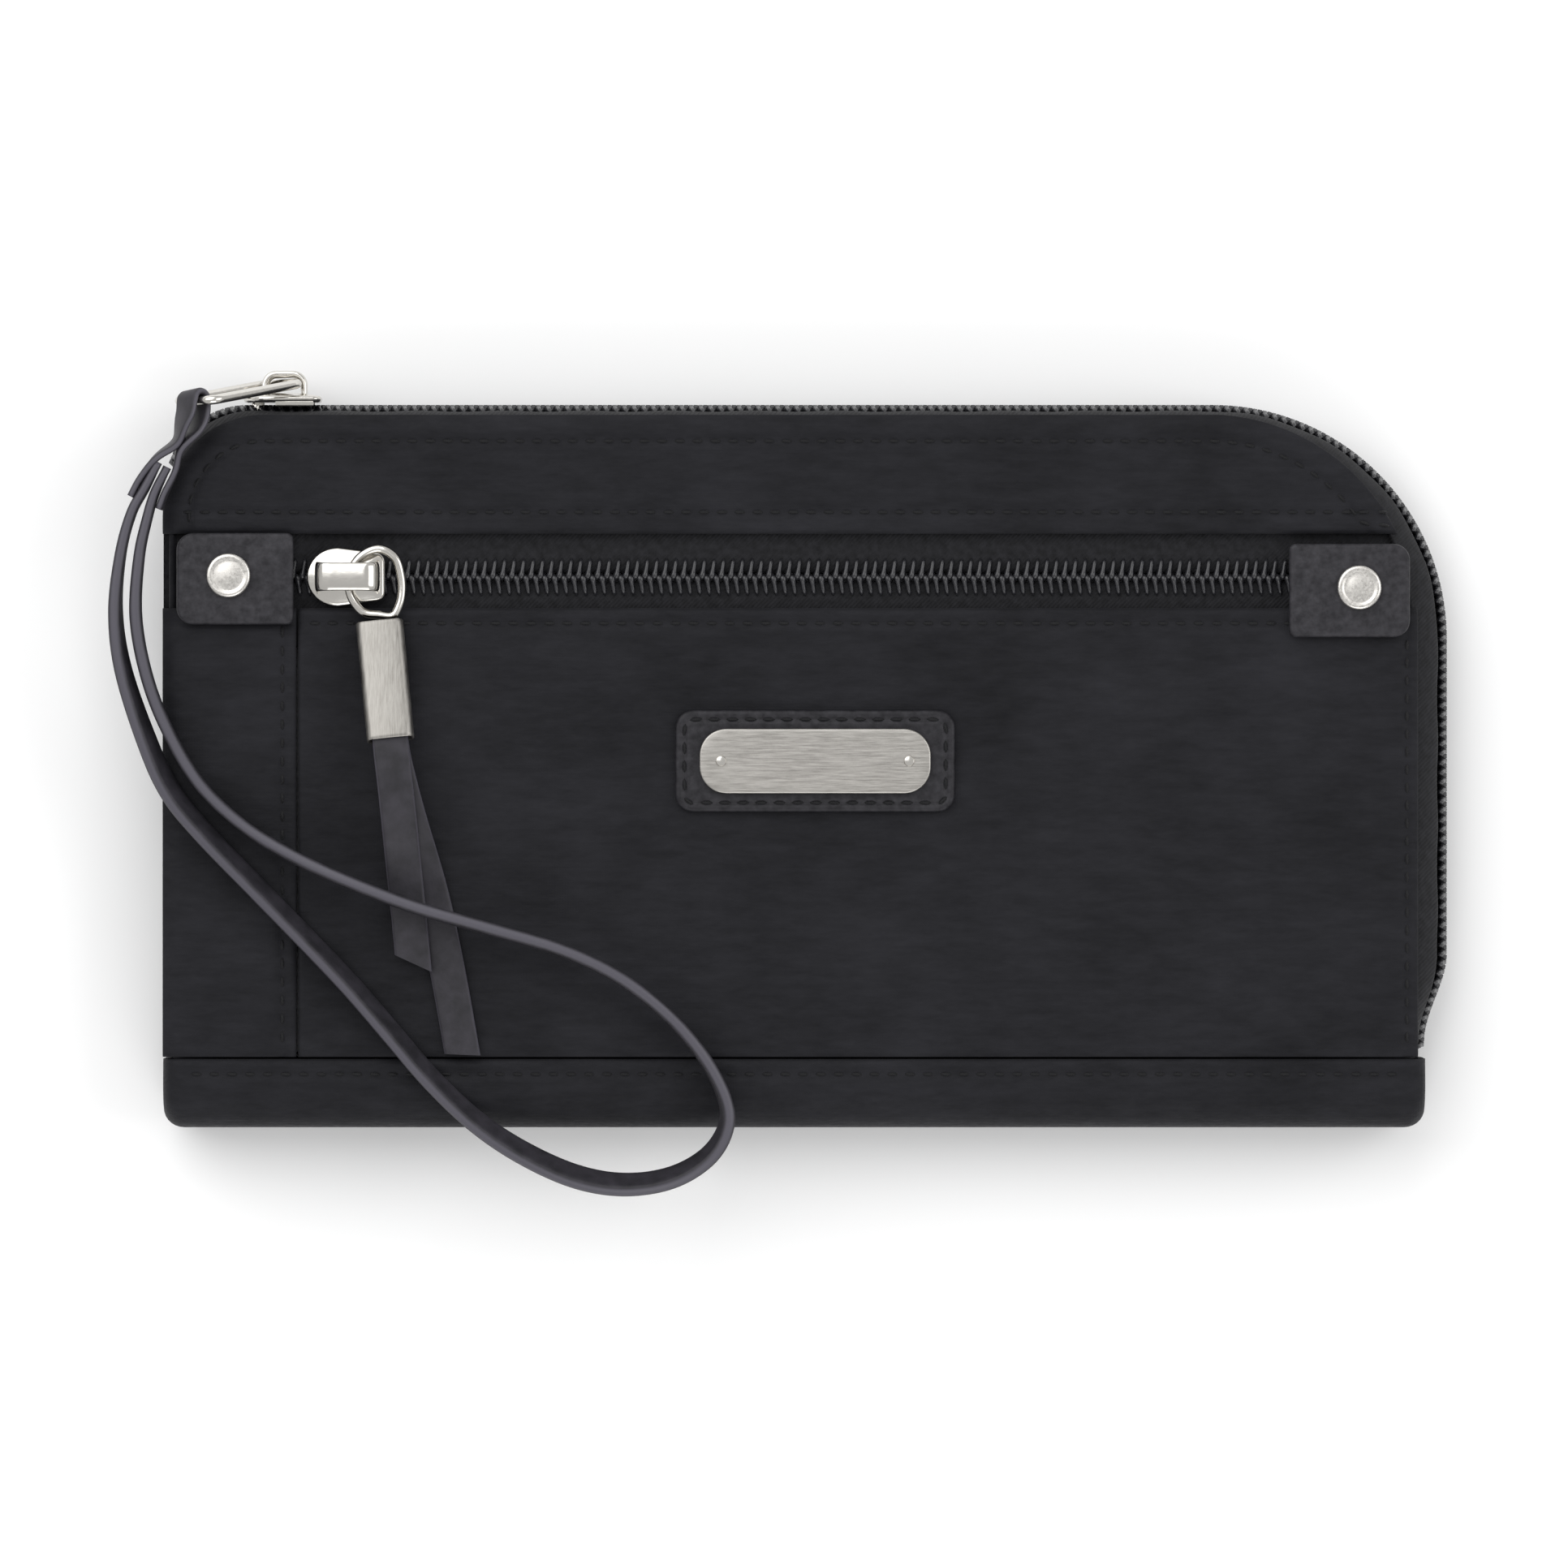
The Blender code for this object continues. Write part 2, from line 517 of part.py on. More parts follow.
def slider_section():
    """The slider's section: two plates with lips round the tapes, joined by the post between the coils."""
    quarter = [
        (SLIDER_HALF_WIDTH, PLATE_OUTER), (SLIDER_HALF_WIDTH, LIP_LEVEL), (LIP_START, LIP_LEVEL),
        (LIP_START, PLATE_INNER), (POST_HALF_WIDTH, PLATE_INNER),
    ]
    right = quarter + [(x, -y) for x, y in reversed(quarter)]
    return right + [(-x, y) for x, y in reversed(right)]


def slider_plan():
    """The slider's outline from above: a drop with its round nose at -x and a square tail."""
    nose = -0.2
    angles = np.radians(np.linspace(90, 270, 13))
    drop = [(nose + 6.0 * math.cos(a), (SLIDER_HALF_WIDTH + 0.1) * math.sin(a)) for a in angles]
    corner_x, corner_y, radius = SLIDER_HALF_LENGTH - 1.1, SLIDER_HALF_WIDTH - 1.0, 1.1
    drop += arc(corner_x, -corner_y, radius, 270, 360, 4)
    return drop + arc(corner_x, corner_y, radius, 0, 90, 4)


def crown_outline(half_span):
    """The slider's arched crown from the side."""
    thick = CROWN_TOP - CROWN_UNDER
    outer, inner = half_span + thick / 2, half_span - thick / 2
    arch = [(outer, CROWN_FOOT), *arc(outer - 1.6, CROWN_TOP - 1.6, 1.6, 0, 90, 5)]
    arch += [*arc(-outer + 1.6, CROWN_TOP - 1.6, 1.6, 90, 180, 5), (-outer, CROWN_FOOT)]
    arch += [(-inner, CROWN_FOOT), *arc(-inner + 0.7, CROWN_UNDER - 0.7, 0.7, 180, 90, 3)]
    return arch + [*arc(inner - 0.7, CROWN_UNDER - 0.7, 0.7, 90, 0, 3), (inner, CROWN_FOOT)]


def slider(name, centre, upright, crown_half_span, crown_half_width, parent):
    """A zip slider and its crown. upright stands the channel on edge, for the zipper along the top edge."""
    turn = Matrix.Rotation(-math.pi / 2, 4, "X") if upright else Matrix.Identity(4)
    place = Matrix.Translation(Vector(centre) * MM) @ turn
    points, faces = prism(slider_section(), -7.0, 7.0)
    body = mesh_object(f"{name}_body", [(z, x, y) for x, y, z in points], faces, NICKEL)
    plan = cutter(f"{name}_plan", *prism(slider_plan(), -4, 4))
    boolean(body, plan, "INTERSECT")
    points, faces = prism(crown_outline(crown_half_span), -crown_half_width, crown_half_width)
    crown = mesh_object(f"{name}_crown", [(x + 0.3, z, y) for x, y, z in points], faces, NICKEL)
    bevel(crown, 0.2, 1)
    for thing in (body, plan, crown):
        thing.data.transform(place)
    body.parent = crown.parent = parent


def main_ring(parent):
    """The rectangular wire ring between the main slider's crown and the strap."""
    half, corner = RING_HALF_WIDTH, RING_CORNER
    outline = rounded_box(0, -half, RING_LENGTH, half, (corner,) * 4, 5)
    line = [RING_EYE + RING_ALONG * along + RING_ACROSS * across for along, across in outline]
    wire_ring("main_ring", line, RING_WIRE, NICKEL, parent)


def strap_tab(parent):
    """The leather tab folded round the ring's far bar. It holds the strap's two ends between its legs."""
    bar = RING_EYE + RING_ALONG * RING_LENGTH
    middle = smooth_line([(*bar, 44), *STRAP_TAB_ROUTE], 14)
    line, lean = middle[:, :3], np.radians(middle[:, 3])[:, None]
    _, left, up = directions(line)
    through = np.cos(lean) * left - np.sin(lean) * up
    reach = np.linspace(0, 17, 14)[:, None]
    spread = np.minimum(STRAP_TAB_APART + 0.075 * reach, STRAP_TAB_WIDEST)
    away = line - through * spread
    back = line + through * spread
    turn = np.radians(np.linspace(18, 162, 6))[:, None]
    behind = np.array(line[0] - line[1])
    behind /= np.linalg.norm(behind)
    round_bar = line[0] + STRAP_TAB_APART * (np.sin(turn) * behind - np.cos(turn) * through[0])
    path = np.vstack([away[::-1], round_bar, back])
    across = np.cos(lean) * up + np.sin(lean) * left
    width = np.vstack([across[::-1], np.repeat(across[:1], 6, 0), across]) * STRAP_WIDTH / 2
    forward = np.gradient(path, axis=0)
    side = np.cross(forward, width)
    side *= STRAP_TAB_THICKNESS / 2 / np.linalg.norm(side, axis=1)[:, None]
    mesh_object("strap_tab", corners(path, width, side), tube_faces(len(path), 4), LEATHER, parent)


def wrist_strap(parent):
    """The flat strap: down the left side, across the front, round its end loop and back."""
    strap = smooth_line(STRAP_ROUTE, 80)
    ribbon("wrist_strap", strap[:, :3], strap[:, 3], STRAP_WIDTH, STRAP_THICKNESS, LEATHER, parent)


def pocket_ring(parent):
    """The pear-shaped wire ring through the pocket slider's crown."""
    first = POCKET_RING_BEND[0]
    looped = POCKET_RING_BEND[-1:] + POCKET_RING_BEND + POCKET_RING_BEND[:2]
    line = smooth_line([(*p, POCKET_RING_Z) for p in looped], 60)
    start = np.linalg.norm(line[:, :2] - first, axis=1)[:20].argmin()
    end = 40 + np.linalg.norm(line[40:, :2] - first, axis=1).argmin()
    wire_ring("pocket_ring", line[start:end], POCKET_RING_WIRE, NICKEL, parent)


def ferrule_matrix():
    """Places the ferrule: its own -Y runs along the tassel from the ring's lower bar, and its Z is up."""
    turn = Matrix.Rotation(math.radians(TASSEL_TURN_DEG), 4, "Z")
    tilt = Matrix.Rotation(math.radians(-TASSEL_TILT_DEG), 4, "X")
    return Matrix.Translation(TASSEL_BAR * MM) @ turn @ tilt


def ferrule(parent):
    """The flat metal tube that grips the two laces."""
    half_w, half_h = FERRULE_WIDTH / 2, FERRULE_HEIGHT / 2
    outer = rounded_box(-half_w, -half_h, half_w, half_h, (0.9,) * 4, 4)
    inner_w, inner_h = half_w - FERRULE_WALL, half_h - FERRULE_WALL
    inner = rounded_box(-inner_w, -inner_h, inner_w, inner_h, (0.3,) * 4, 3)
    points, faces = prism(outer, FERRULE_START, FERRULE_END)
    tube = mesh_object("ferrule", [(x, -z, y) for x, y, z in points], faces, NICKEL)
    points, faces = prism(inner, FERRULE_START - 2, FERRULE_END + 2)
    core = cutter("ferrule_bore", [(x, -z, y) for x, y, z in points], faces)
    boolean(tube, core)
    for thing in (tube, core):
        thing.data.transform(ferrule_matrix())
    tube.parent = parent


def tassel(parent):
    """The ferrule and the two leather laces that hang from it."""
    ferrule(parent)
    for name, route in (("lace_back", LACE_BACK_ROUTE), ("lace_front", LACE_FRONT_ROUTE)):
        ribbon(name, smooth_line(route, 24), 90.0, LACE_WIDTH, LACE_THICKNESS, LEATHER, parent)


def pivot(name, place=(0.0, 0.0, 0.0)):
    """An empty that holds one moving body. It marks the body's joint, and its pieces keep their places."""
    empty = bpy.data.objects.new(name, None)
    bpy.context.scene.collection.objects.link(empty)
    empty.location = Vector(place) * MM
    return empty


def keep_places():
    """Undoes the empties' own placement on their children, whose points are already in world places."""
    bpy.context.view_layer.update()
    for thing in bpy.data.objects:
        if thing.parent is not None:
            thing.matrix_parent_inverse = thing.parent.matrix_world.inverted()


def main():
    clear_scene()
    back_shell(pivot("back_shell"))
    front_cover(pivot("front_cover", (0, BAND_SEAM_Y, DEPTH)))
    slider_y = ZIP_TOP - COIL_THICKNESS / 2
    main_place = (MAIN_SLIDER_X, slider_y, DEPTH / 2)
    slider("main_slider", main_place, True, 3.2, 1.0, pivot("main_slider", main_place))
    main_ring(pivot("main_ring_body", RING_EYE))
    strap = pivot("wrist_strap_body", RING_EYE + RING_ALONG * RING_LENGTH)
    strap_tab(strap)
    wrist_strap(strap)
    pocket_place = (POCKET_SLIDER_X, POCKET_ZIP_Y, POCKET_ZIP_Z)
    slider("pocket_slider", pocket_place, False, 4.0, 1.3, pivot("pocket_slider", pocket_place))
    pocket_ring(pivot("pocket_ring_body", (-72.2, POCKET_ZIP_Y, POCKET_RING_Z)))
    tassel(pivot("tassel", TASSEL_BAR))
    keep_places()


main()
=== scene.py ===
# %% [markdown]
# # A zippered pouch with a wrist strap
# The real pouch is cloth sewn over thin padding, closed by a long coil zipper round its top and right
# edges. The frame gives every size and every joint. These cells dress it: each piece is a surface
# worked out with numpy, given a finish of its own, and tied to the body that it moves with.

import json
import math

import bpy
import numpy as np
from mathutils import Matrix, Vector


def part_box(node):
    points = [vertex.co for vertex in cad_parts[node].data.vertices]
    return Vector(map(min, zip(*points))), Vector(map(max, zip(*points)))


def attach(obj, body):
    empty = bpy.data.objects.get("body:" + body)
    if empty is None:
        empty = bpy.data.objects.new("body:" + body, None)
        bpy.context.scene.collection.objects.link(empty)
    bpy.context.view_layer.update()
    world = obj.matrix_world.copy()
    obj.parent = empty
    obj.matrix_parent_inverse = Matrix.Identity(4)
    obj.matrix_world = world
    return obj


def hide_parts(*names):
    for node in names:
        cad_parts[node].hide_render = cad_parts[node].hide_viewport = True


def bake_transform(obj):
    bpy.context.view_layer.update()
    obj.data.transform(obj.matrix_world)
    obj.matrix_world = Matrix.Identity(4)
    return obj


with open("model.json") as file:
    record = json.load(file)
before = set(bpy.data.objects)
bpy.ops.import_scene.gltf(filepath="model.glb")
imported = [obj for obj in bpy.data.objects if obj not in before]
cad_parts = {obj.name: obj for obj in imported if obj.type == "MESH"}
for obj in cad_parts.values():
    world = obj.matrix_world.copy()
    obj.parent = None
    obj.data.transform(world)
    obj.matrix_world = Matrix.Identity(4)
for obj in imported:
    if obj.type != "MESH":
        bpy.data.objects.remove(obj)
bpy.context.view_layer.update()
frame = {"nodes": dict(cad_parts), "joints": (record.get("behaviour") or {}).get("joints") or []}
MM = 0.001

# %% [markdown]
# ## Places taken from the frame
# Every later cell needs the pouch's outline. It is read from the boxes of the frame's own nodes, in
# millimetres, so the looks follow the design if its sizes change.


# %% Outline of the pouch
def box_mm(node):
    """Lowest and highest corner of a frame node, in millimetres."""
    low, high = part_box(node)
    return np.array(low) / MM, np.array(high) / MM


back_low, back_high = box_mm("back_panel")
LEFT, RIGHT, TOP = back_low[0], back_high[0], back_high[1]
DEPTH = box_mm("upper_panel")[1][2]
BAND_LOW, BAND_HIGH = box_mm("bottom_band")
SEAM_Y = BAND_HIGH[1]
SLOT_TOP, SLOT_BOTTOM = box_mm("upper_panel")[0][1], box_mm("pocket_panel")[1][1]
SEAM_X = box_mm("left_panel")[1][0]
CORNER_LEFT, CORNER_RIGHT = 16.0, 33.0
CLOTH = 0.9
print("face", round(RIGHT - LEFT, 1), "x", round(TOP - BAND_LOW[1], 1), "mm, depth", round(DEPTH, 1), "mm")

# %% [markdown]
# ## Camera and floor
# The pouch lies on its back under a camera that looks straight down. An orthographic camera would hide
# its sides altogether. A very long lens, far away, hides them nearly as well, and the strap and the rings
# still gain a little size from their height. The floor is plain and pale, so that only the pouch speaks.

# %% Camera and floor
VIEW_WIDTH, LENS, SENSOR = 246.9, 300.0, 36.0
VIEW_CENTRE = (-3.7, -3.2)
camera_data = bpy.data.cameras.new("camera")
camera_data.lens, camera_data.sensor_width = LENS, SENSOR
camera_data.clip_start, camera_data.clip_end = 0.01, 20.0
camera = bpy.data.objects.new("camera", camera_data)
camera.location = (VIEW_CENTRE[0] * MM, VIEW_CENTRE[1] * MM, (DEPTH + VIEW_WIDTH * LENS / SENSOR) * MM)
bpy.context.scene.collection.objects.link(camera)
bpy.context.scene.camera = camera


def linear(level):
    """A screen level from 0 to 255 as the linear value that a shader takes."""
    share = level / 255
    return share / 12.92 if share <= 0.04045 else ((share + 0.055) / 1.055) ** 2.4


def colour(red, green, blue):
    """A colour from three screen levels."""
    return linear(red), linear(green), linear(blue), 1.0


FLOOR = 3.0
floor_corners = [(-FLOOR, -FLOOR, 0), (FLOOR, -FLOOR, 0), (FLOOR, FLOOR, 0), (-FLOOR, FLOOR, 0)]
floor_data = bpy.data.meshes.new("floor")
floor_data.from_pydata(floor_corners, [], [(0, 1, 2, 3)])
floor = bpy.data.objects.new("floor", floor_data)
bpy.context.scene.collection.objects.link(floor)
floor_paint = bpy.data.materials.new("floor_paint")
floor_paint.use_nodes = True
floor_shader = floor_paint.node_tree.nodes["Principled BSDF"]
floor_shader.inputs["Base Color"].default_value = (0.96, 0.96, 0.96, 1)
floor_shader.inputs["Roughness"].default_value = 0.9
floor_data.materials.append(floor_paint)
print("camera height", round(camera.location.z, 3), "m")

# %% [markdown]
# ## Light
# Black cloth and bright metal both need large, soft lamps: small ones would leave hard glints on the
# nickel and nothing on the cloth. Three square lamps stand round the pouch, the first stronger, so that
# seams and stitches still cast a little shade. A white surround fills the rest, as the walls of a light
# tent do.


# %% Lamps
def lamp(name, place, size, power):
    """A square soft lamp aimed at the middle of the pouch."""
    data = bpy.data.lights.new(name, "AREA")
    data.size, data.energy = size, power
    thing = bpy.data.objects.new(name, data)
    bpy.context.scene.collection.objects.link(thing)
    away = np.array(place) / np.linalg.norm(place)
    side = np.cross((0.0, 1.0, 0.0), away)
    side /= np.linalg.norm(side)
    turned = np.column_stack([side, np.cross(away, side), away, place])
    thing.matrix_world = Matrix([*turned.tolist(), (0, 0, 0, 1)])


lamp("key", (-0.55, 0.75, 0.95), 1.5, 12.0)
lamp("fill", (0.9, 0.15, 0.8), 0.9, 4.2)
lamp("front", (0.1, -0.9, 0.7), 0.8, 3.6)
world = bpy.data.worlds.new("light_tent")
world.use_nodes = True
surround = world.node_tree.nodes["Background"]
surround.inputs["Color"].default_value = (1, 1, 1, 1)
surround.inputs["Strength"].default_value = 0.6
bpy.context.scene.world = world
bpy.context.scene.view_settings.view_transform = "Standard"
print("3 lamps and a white surround")

# %% [markdown]
# ## Turning numbers into meshes
# A surface here is a grid of points: rows by columns by x, y, z. Neighbours on the grid share a face,
# so the same few lines make a panel, a tube or a ribbon. A closed piece is turned so that its faces
# look outwards, by the sign of its volume.


# %% From grid to object
def grid_faces(rows, columns, loop_rows=False, loop_columns=False, start=0):
    """Four-cornered faces between neighbouring points of a grid that may join up in either direction."""
    index = start + np.arange(rows * columns).reshape(rows, columns)
    if loop_rows:
        index = np.vstack([index, index[:1]])
    if loop_columns:
        index = np.hstack([index, index[:, :1]])
    return np.stack([index[:-1, :-1], index[:-1, 1:], index[1:, 1:], index[1:, :-1]], -1).reshape(-1, 4)


def volume(points, faces):
    """Signed volume inside the faces: positive where they look outwards."""
    total = 0.0
    for corner in range(1, faces.shape[1] - 1):
        a, b, c = points[faces[:, 0]], points[faces[:, corner]], points[faces[:, corner + 1]]
        total += np.einsum("ij,ij->i", a, np.cross(b, c)).sum()
    return total


def build(name, points, faces, finish, uv=None):
    """An object at the origin from points in millimetres. faces holds arrays, each of one face size."""
    data = bpy.data.meshes.new(name)
    loops = np.concatenate([f.ravel() for f in faces])
    sizes = np.concatenate([np.full(len(f), f.shape[1]) for f in faces])
    data.vertices.add(len(points))
    data.vertices.foreach_set("co", (points * MM).astype(np.float32).ravel())
    data.loops.add(len(loops))
    data.loops.foreach_set("vertex_index", loops.astype(np.int32))
    data.polygons.add(len(sizes))
    data.polygons.foreach_set("loop_start", np.r_[0, np.cumsum(sizes)[:-1]].astype(np.int32))
    data.update(calc_edges=True)
    data.validate()
    if uv is not None:
        layer = data.uv_layers.new(name="along_across")
        layer.uv.foreach_set("vector", uv[loops].astype(np.float32).ravel())
    data.shade_smooth()
    data.materials.append(finish)
    thing = bpy.data.objects.new(name, data)
    bpy.context.scene.collection.objects.link(thing)
    return thing


def sheet(name, grid, finish, thickness, uv=None):
    """An open grid, given a thickness on its underside."""
    rows, columns = grid.shape[:2]
    flat_uv = None if uv is None else uv.reshape(-1, 2)
    thing = build(name, grid.reshape(-1, 3), [grid_faces(rows, columns)], finish, flat_uv)
    step = thing.modifiers.new("cloth_thickness", "SOLIDIFY")
    step.thickness = thickness * MM
    step.offset = -1.0
    return thing


def shell(name, grid, finish, poles=True, uv=None, sharp=None):
    """A grid whose columns join up. Its rows either join up too, or each end closes in one point."""
    rows, columns = grid.shape[:2]
    points = grid.reshape(-1, 3)
    faces = [grid_faces(rows, columns, not poles, True)]
    flat_uv = None if uv is None else uv.reshape(-1, 2)
    if poles:
        ring = np.arange(columns)
        last = (rows - 1) * columns
        points = np.vstack([points, grid[0].mean(0), grid[-1].mean(0)])
        tip = np.full(columns, rows * columns)
        faces.append(np.stack([tip, np.roll(ring, -1), ring], -1))
        faces.append(np.stack([tip + 1, last + ring, last + np.roll(ring, -1)], -1))
        if uv is not None:
            flat_uv = np.vstack([flat_uv, uv[0].mean(0), uv[-1].mean(0)])
    if sum(volume(points, f) for f in faces) < 0:
        faces = [f[:, ::-1] for f in faces]
    thing = build(name, points, faces, finish, flat_uv)
    if sharp:
        thing.data.set_sharp_from_angle(angle=math.radians(sharp))
    return thing


def join(name, parts):
    """Several objects as one piece that keeps the first one's materials."""
    points, faces, start = [], [], 0
    for part in parts:
        data = part.data
        place = np.empty(len(data.vertices) * 3, np.float32)
        data.vertices.foreach_get("co", place)
        points.append(place.reshape(-1, 3).astype(float) / MM)
        corners = np.empty(len(data.loops), np.int32)
        data.loops.foreach_get("vertex_index", corners)
        sizes = np.empty(len(data.polygons), np.int32)
        data.polygons.foreach_get("loop_total", sizes)
        first = np.r_[0, np.cumsum(sizes)[:-1]]
        for size in np.unique(sizes):
            chosen = first[sizes == size]
            faces.append(corners[chosen[:, None] + np.arange(size)] + start)
        start += len(data.vertices)
    finish = parts[0].data.materials[0]
    for part in parts:
        old = part.data
        bpy.data.objects.remove(part)
        bpy.data.meshes.remove(old)
    thing = build(name, np.vstack(points), faces, finish)
    thing.data.set_sharp_from_angle(angle=math.radians(35))
    return thing


def fit(thing, node_name, body):
    """Puts a piece in place of a frame node, on the body that it moves with."""
    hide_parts(node_name)
    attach(thing, body)


print("helpers ready")

# %% [markdown]
# ## Lines
# Most pieces follow a line: an arc round a corner, a smooth curve through a few points, or the same
# line moved sideways. A line is an array of points, evenly spaced once it is resampled.


# %% Arcs, curves and even spacing
def arc(centre, radius, start, end, count=24):
    """Points at one distance from a centre, from one angle in degrees to another."""
    angle = np.radians(np.linspace(start, end, count))
    return np.column_stack([centre[0] + radius * np.cos(angle), centre[1] + radius * np.sin(angle)])


def even(line, count, closed=False):
    """The same line as count points at equal steps along it."""
    line = np.vstack([line, line[:1]]) if closed else line
    along = np.r_[0, np.cumsum(np.linalg.norm(np.diff(line[:, :3], axis=0), axis=1))]
    wanted = np.linspace(0, along[-1], count, endpoint=not closed)
    return np.column_stack([np.interp(wanted, along, line[:, k]) for k in range(line.shape[1])])


def length(line):
    """The sum of a line's steps."""
    return np.linalg.norm(np.diff(line[:, :3], axis=0), axis=1).sum()


def curve(controls, count, closed=False):
    """Catmull-Rom: each span is the cubic through its two ends, in the directions of their neighbours."""
    p = np.array(controls, float)
    ends = (p[-1:], p[:2]) if closed else (2 * p[:1] - p[1:2], 2 * p[-1:] - p[-2:-1])
    p = np.vstack([ends[0], p, ends[1]])
    t = np.linspace(0, 1, 24, endpoint=False)[None, :, None]
    a, b, c, d = (p[k : len(p) - 3 + k, None, :] for k in range(4))
    fine = 2 * b + (c - a) * t + (2 * a - 5 * b + 4 * c - d) * t**2 + (3 * b - a - 3 * c + d) * t**3
    fine = 0.5 * fine.reshape(-1, p.shape[1])
    return even(fine if closed else np.vstack([fine, p[-2:-1]]), count, closed)


def plan_normals(line):
    """Unit vectors to the right of a plan line, which is inwards when the line runs clockwise."""
    step = np.gradient(line, axis=0)
    step /= np.linalg.norm(step, axis=1)[:, None]
    return np.column_stack([step[:, 1], -step[:, 0]])


def rounded_rectangle(low_x, low_y, high_x, high_y, radii, count=10):
    """A closed outline, counter-clockwise from the bottom left, with a radius for each corner."""
    corners = [(low_x, low_y, 1, 1, 180), (high_x, low_y, -1, 1, 270),
               (high_x, high_y, -1, -1, 0), (low_x, high_y, 1, -1, 90)]
    turns = []
    for (x, y, inward_x, inward_y, start), radius in zip(corners, radii):
        centre = (x + inward_x * radius, y + inward_y * radius)
        turns.append(arc(centre, radius, start, start + 90, count))
    return np.vstack(turns)


def frames(path, upright=(0.0, 0.0, 1.0), closed=False):
    """Forward, level left and up directions at each point of a path."""
    if closed:
        forward = np.roll(path, -1, 0) - np.roll(path, 1, 0)
    else:
        forward = np.gradient(path, axis=0)
    forward = forward / np.linalg.norm(forward, axis=1)[:, None]
    left = np.cross(np.broadcast_to(upright, forward.shape), forward)
    left /= np.linalg.norm(left, axis=1)[:, None]
    return forward, left, np.cross(forward, left)


print("a test arc is", round(length(arc((0, 0), 10, 0, 90)), 2), "mm long")

# %% [markdown]
# ## Finishes
# Each finish is one material with its pattern worked out from the object's own coordinates, or from a
# piece's own along-and-across map where the pattern follows a strap. A bump from noise gives crinkle,
# grain or brushing, and a slow noise shifts the colour a little, because no cloth is one even black.


# %% Building blocks for finishes
WAVE_SCALE = 0.314


def new_finish(name, base, roughness, metallic=0.0, **sockets):
    """A Principled material with its even values set on the shader's own sockets."""
    made = bpy.data.materials.new(name)
    made.use_nodes = True
    shader = made.node_tree.nodes["Principled BSDF"]
    shader.inputs["Base Color"].default_value = base
    shader.inputs["Roughness"].default_value = roughness
    shader.inputs["Metallic"].default_value = metallic
    for socket, value in sockets.items():
        shader.inputs[socket.replace("_", " ")].default_value = value
    made.diffuse_color = base
    return made


def node(finish, kind, inputs=None, **settings):
    """Adds a shader node. inputs maps a socket to a value or to another node's output."""
    made = finish.node_tree.nodes.new(kind)
    for key, value in settings.items():
        setattr(made, key, value)
    for socket, value in (inputs or {}).items():
        if isinstance(value, bpy.types.NodeSocket):
            finish.node_tree.links.new(value, made.inputs[socket])
        else:
            made.inputs[socket].default_value = value
    return made


def place_on(finish, scale=(1, 1, 1), turn=0.0, uv=False):
    """The coordinates that a pattern reads, in millimetres, stretched and turned about Z."""
    source = node(finish, "ShaderNodeTexCoord").outputs["UV" if uv else "Object"]
    size = tuple(s if uv else s / MM for s in scale)
    inputs = {"Vector": source, "Scale": size, "Rotation": (0, 0, turn)}
    return node(finish, "ShaderNodeMapping", inputs).outputs[0]


def noise(finish, place, scale, detail=3.0, rough=0.55):
    """Noise whose features are about 1 / scale millimetres across."""
    inputs = {"Vector": place, "Scale": scale, "Detail": detail, "Roughness": rough}
    return node(finish, "ShaderNodeTexNoise", inputs).outputs["Fac"]


def bump(finish, height, strength, distance, below=None):
    """Bump of a depth in millimetres, on top of an earlier bump."""
    inputs = {"Height": height, "Strength": strength, "Distance": distance * MM}
    if below is not None:
        inputs["Normal"] = below
    return node(finish, "ShaderNodeBump", inputs).outputs["Normal"]


def between(finish, factor, low, high):
    """A colour that runs from low to high as the factor runs from 0.3 to 0.7."""
    ramp = node(finish, "ShaderNodeValToRGB", {"Fac": factor})
    ramp.color_ramp.elements[0].position, ramp.color_ramp.elements[0].color = 0.3, low
    ramp.color_ramp.elements[1].position, ramp.color_ramp.elements[1].color = 0.7, high
    return ramp.outputs["Color"]


def levels(finish, factor, low, high, start=0.3, end=0.7):
    """A number that runs from low to high as the factor runs from start to end."""
    inputs = {"Value": factor, "From Min": start, "From Max": end, "To Min": low, "To Max": high}
    return node(finish, "ShaderNodeMapRange", inputs).outputs["Result"]


def threads(finish, place, pitch, distortion, detail=2.0, detail_scale=1.0, direction="X"):
    """Parallel threads a pitch apart in millimetres: a sine across them, wavered by the distortion."""
    inputs = {"Vector": place, "Scale": WAVE_SCALE / pitch, "Distortion": distortion, "Detail": detail,
              "Detail Scale": detail_scale}
    return node(finish, "ShaderNodeTexWave", inputs, bands_direction=direction).outputs["Fac"]


def plug(finish, **sockets):
    """Links outputs of nodes to the shader's sockets."""
    shader = finish.node_tree.nodes["Principled BSDF"]
    for socket, source in sockets.items():
        finish.node_tree.links.new(source, shader.inputs[socket.replace("_", " ")])


print("finish helpers ready")

# %% [markdown]
# ## Cloth, tape, thread and coil
# The body is near-black nylon, washed so that it crinkles mostly crosswise, and its woven threads are
# half a millimetre apart. A displaced mesh could carry the crinkle, but at this depth a bump shows the
# same. The tape is a close twill, the lining a plain weave in mid grey, and the coil is smooth plastic
# with fine scuffs.


# %% Cloth, tape and thread
def weave(finish, place, pitch):
    """A plain weave: two sets of parallel threads at right angles, multiplied."""
    warp, weft = (threads(finish, place, pitch, 0.6, 1.0, 2.0, direction) for direction in ("X", "Y"))
    return node(finish, "ShaderNodeMath", {0: warp, 1: weft}, operation="MULTIPLY").outputs[0]


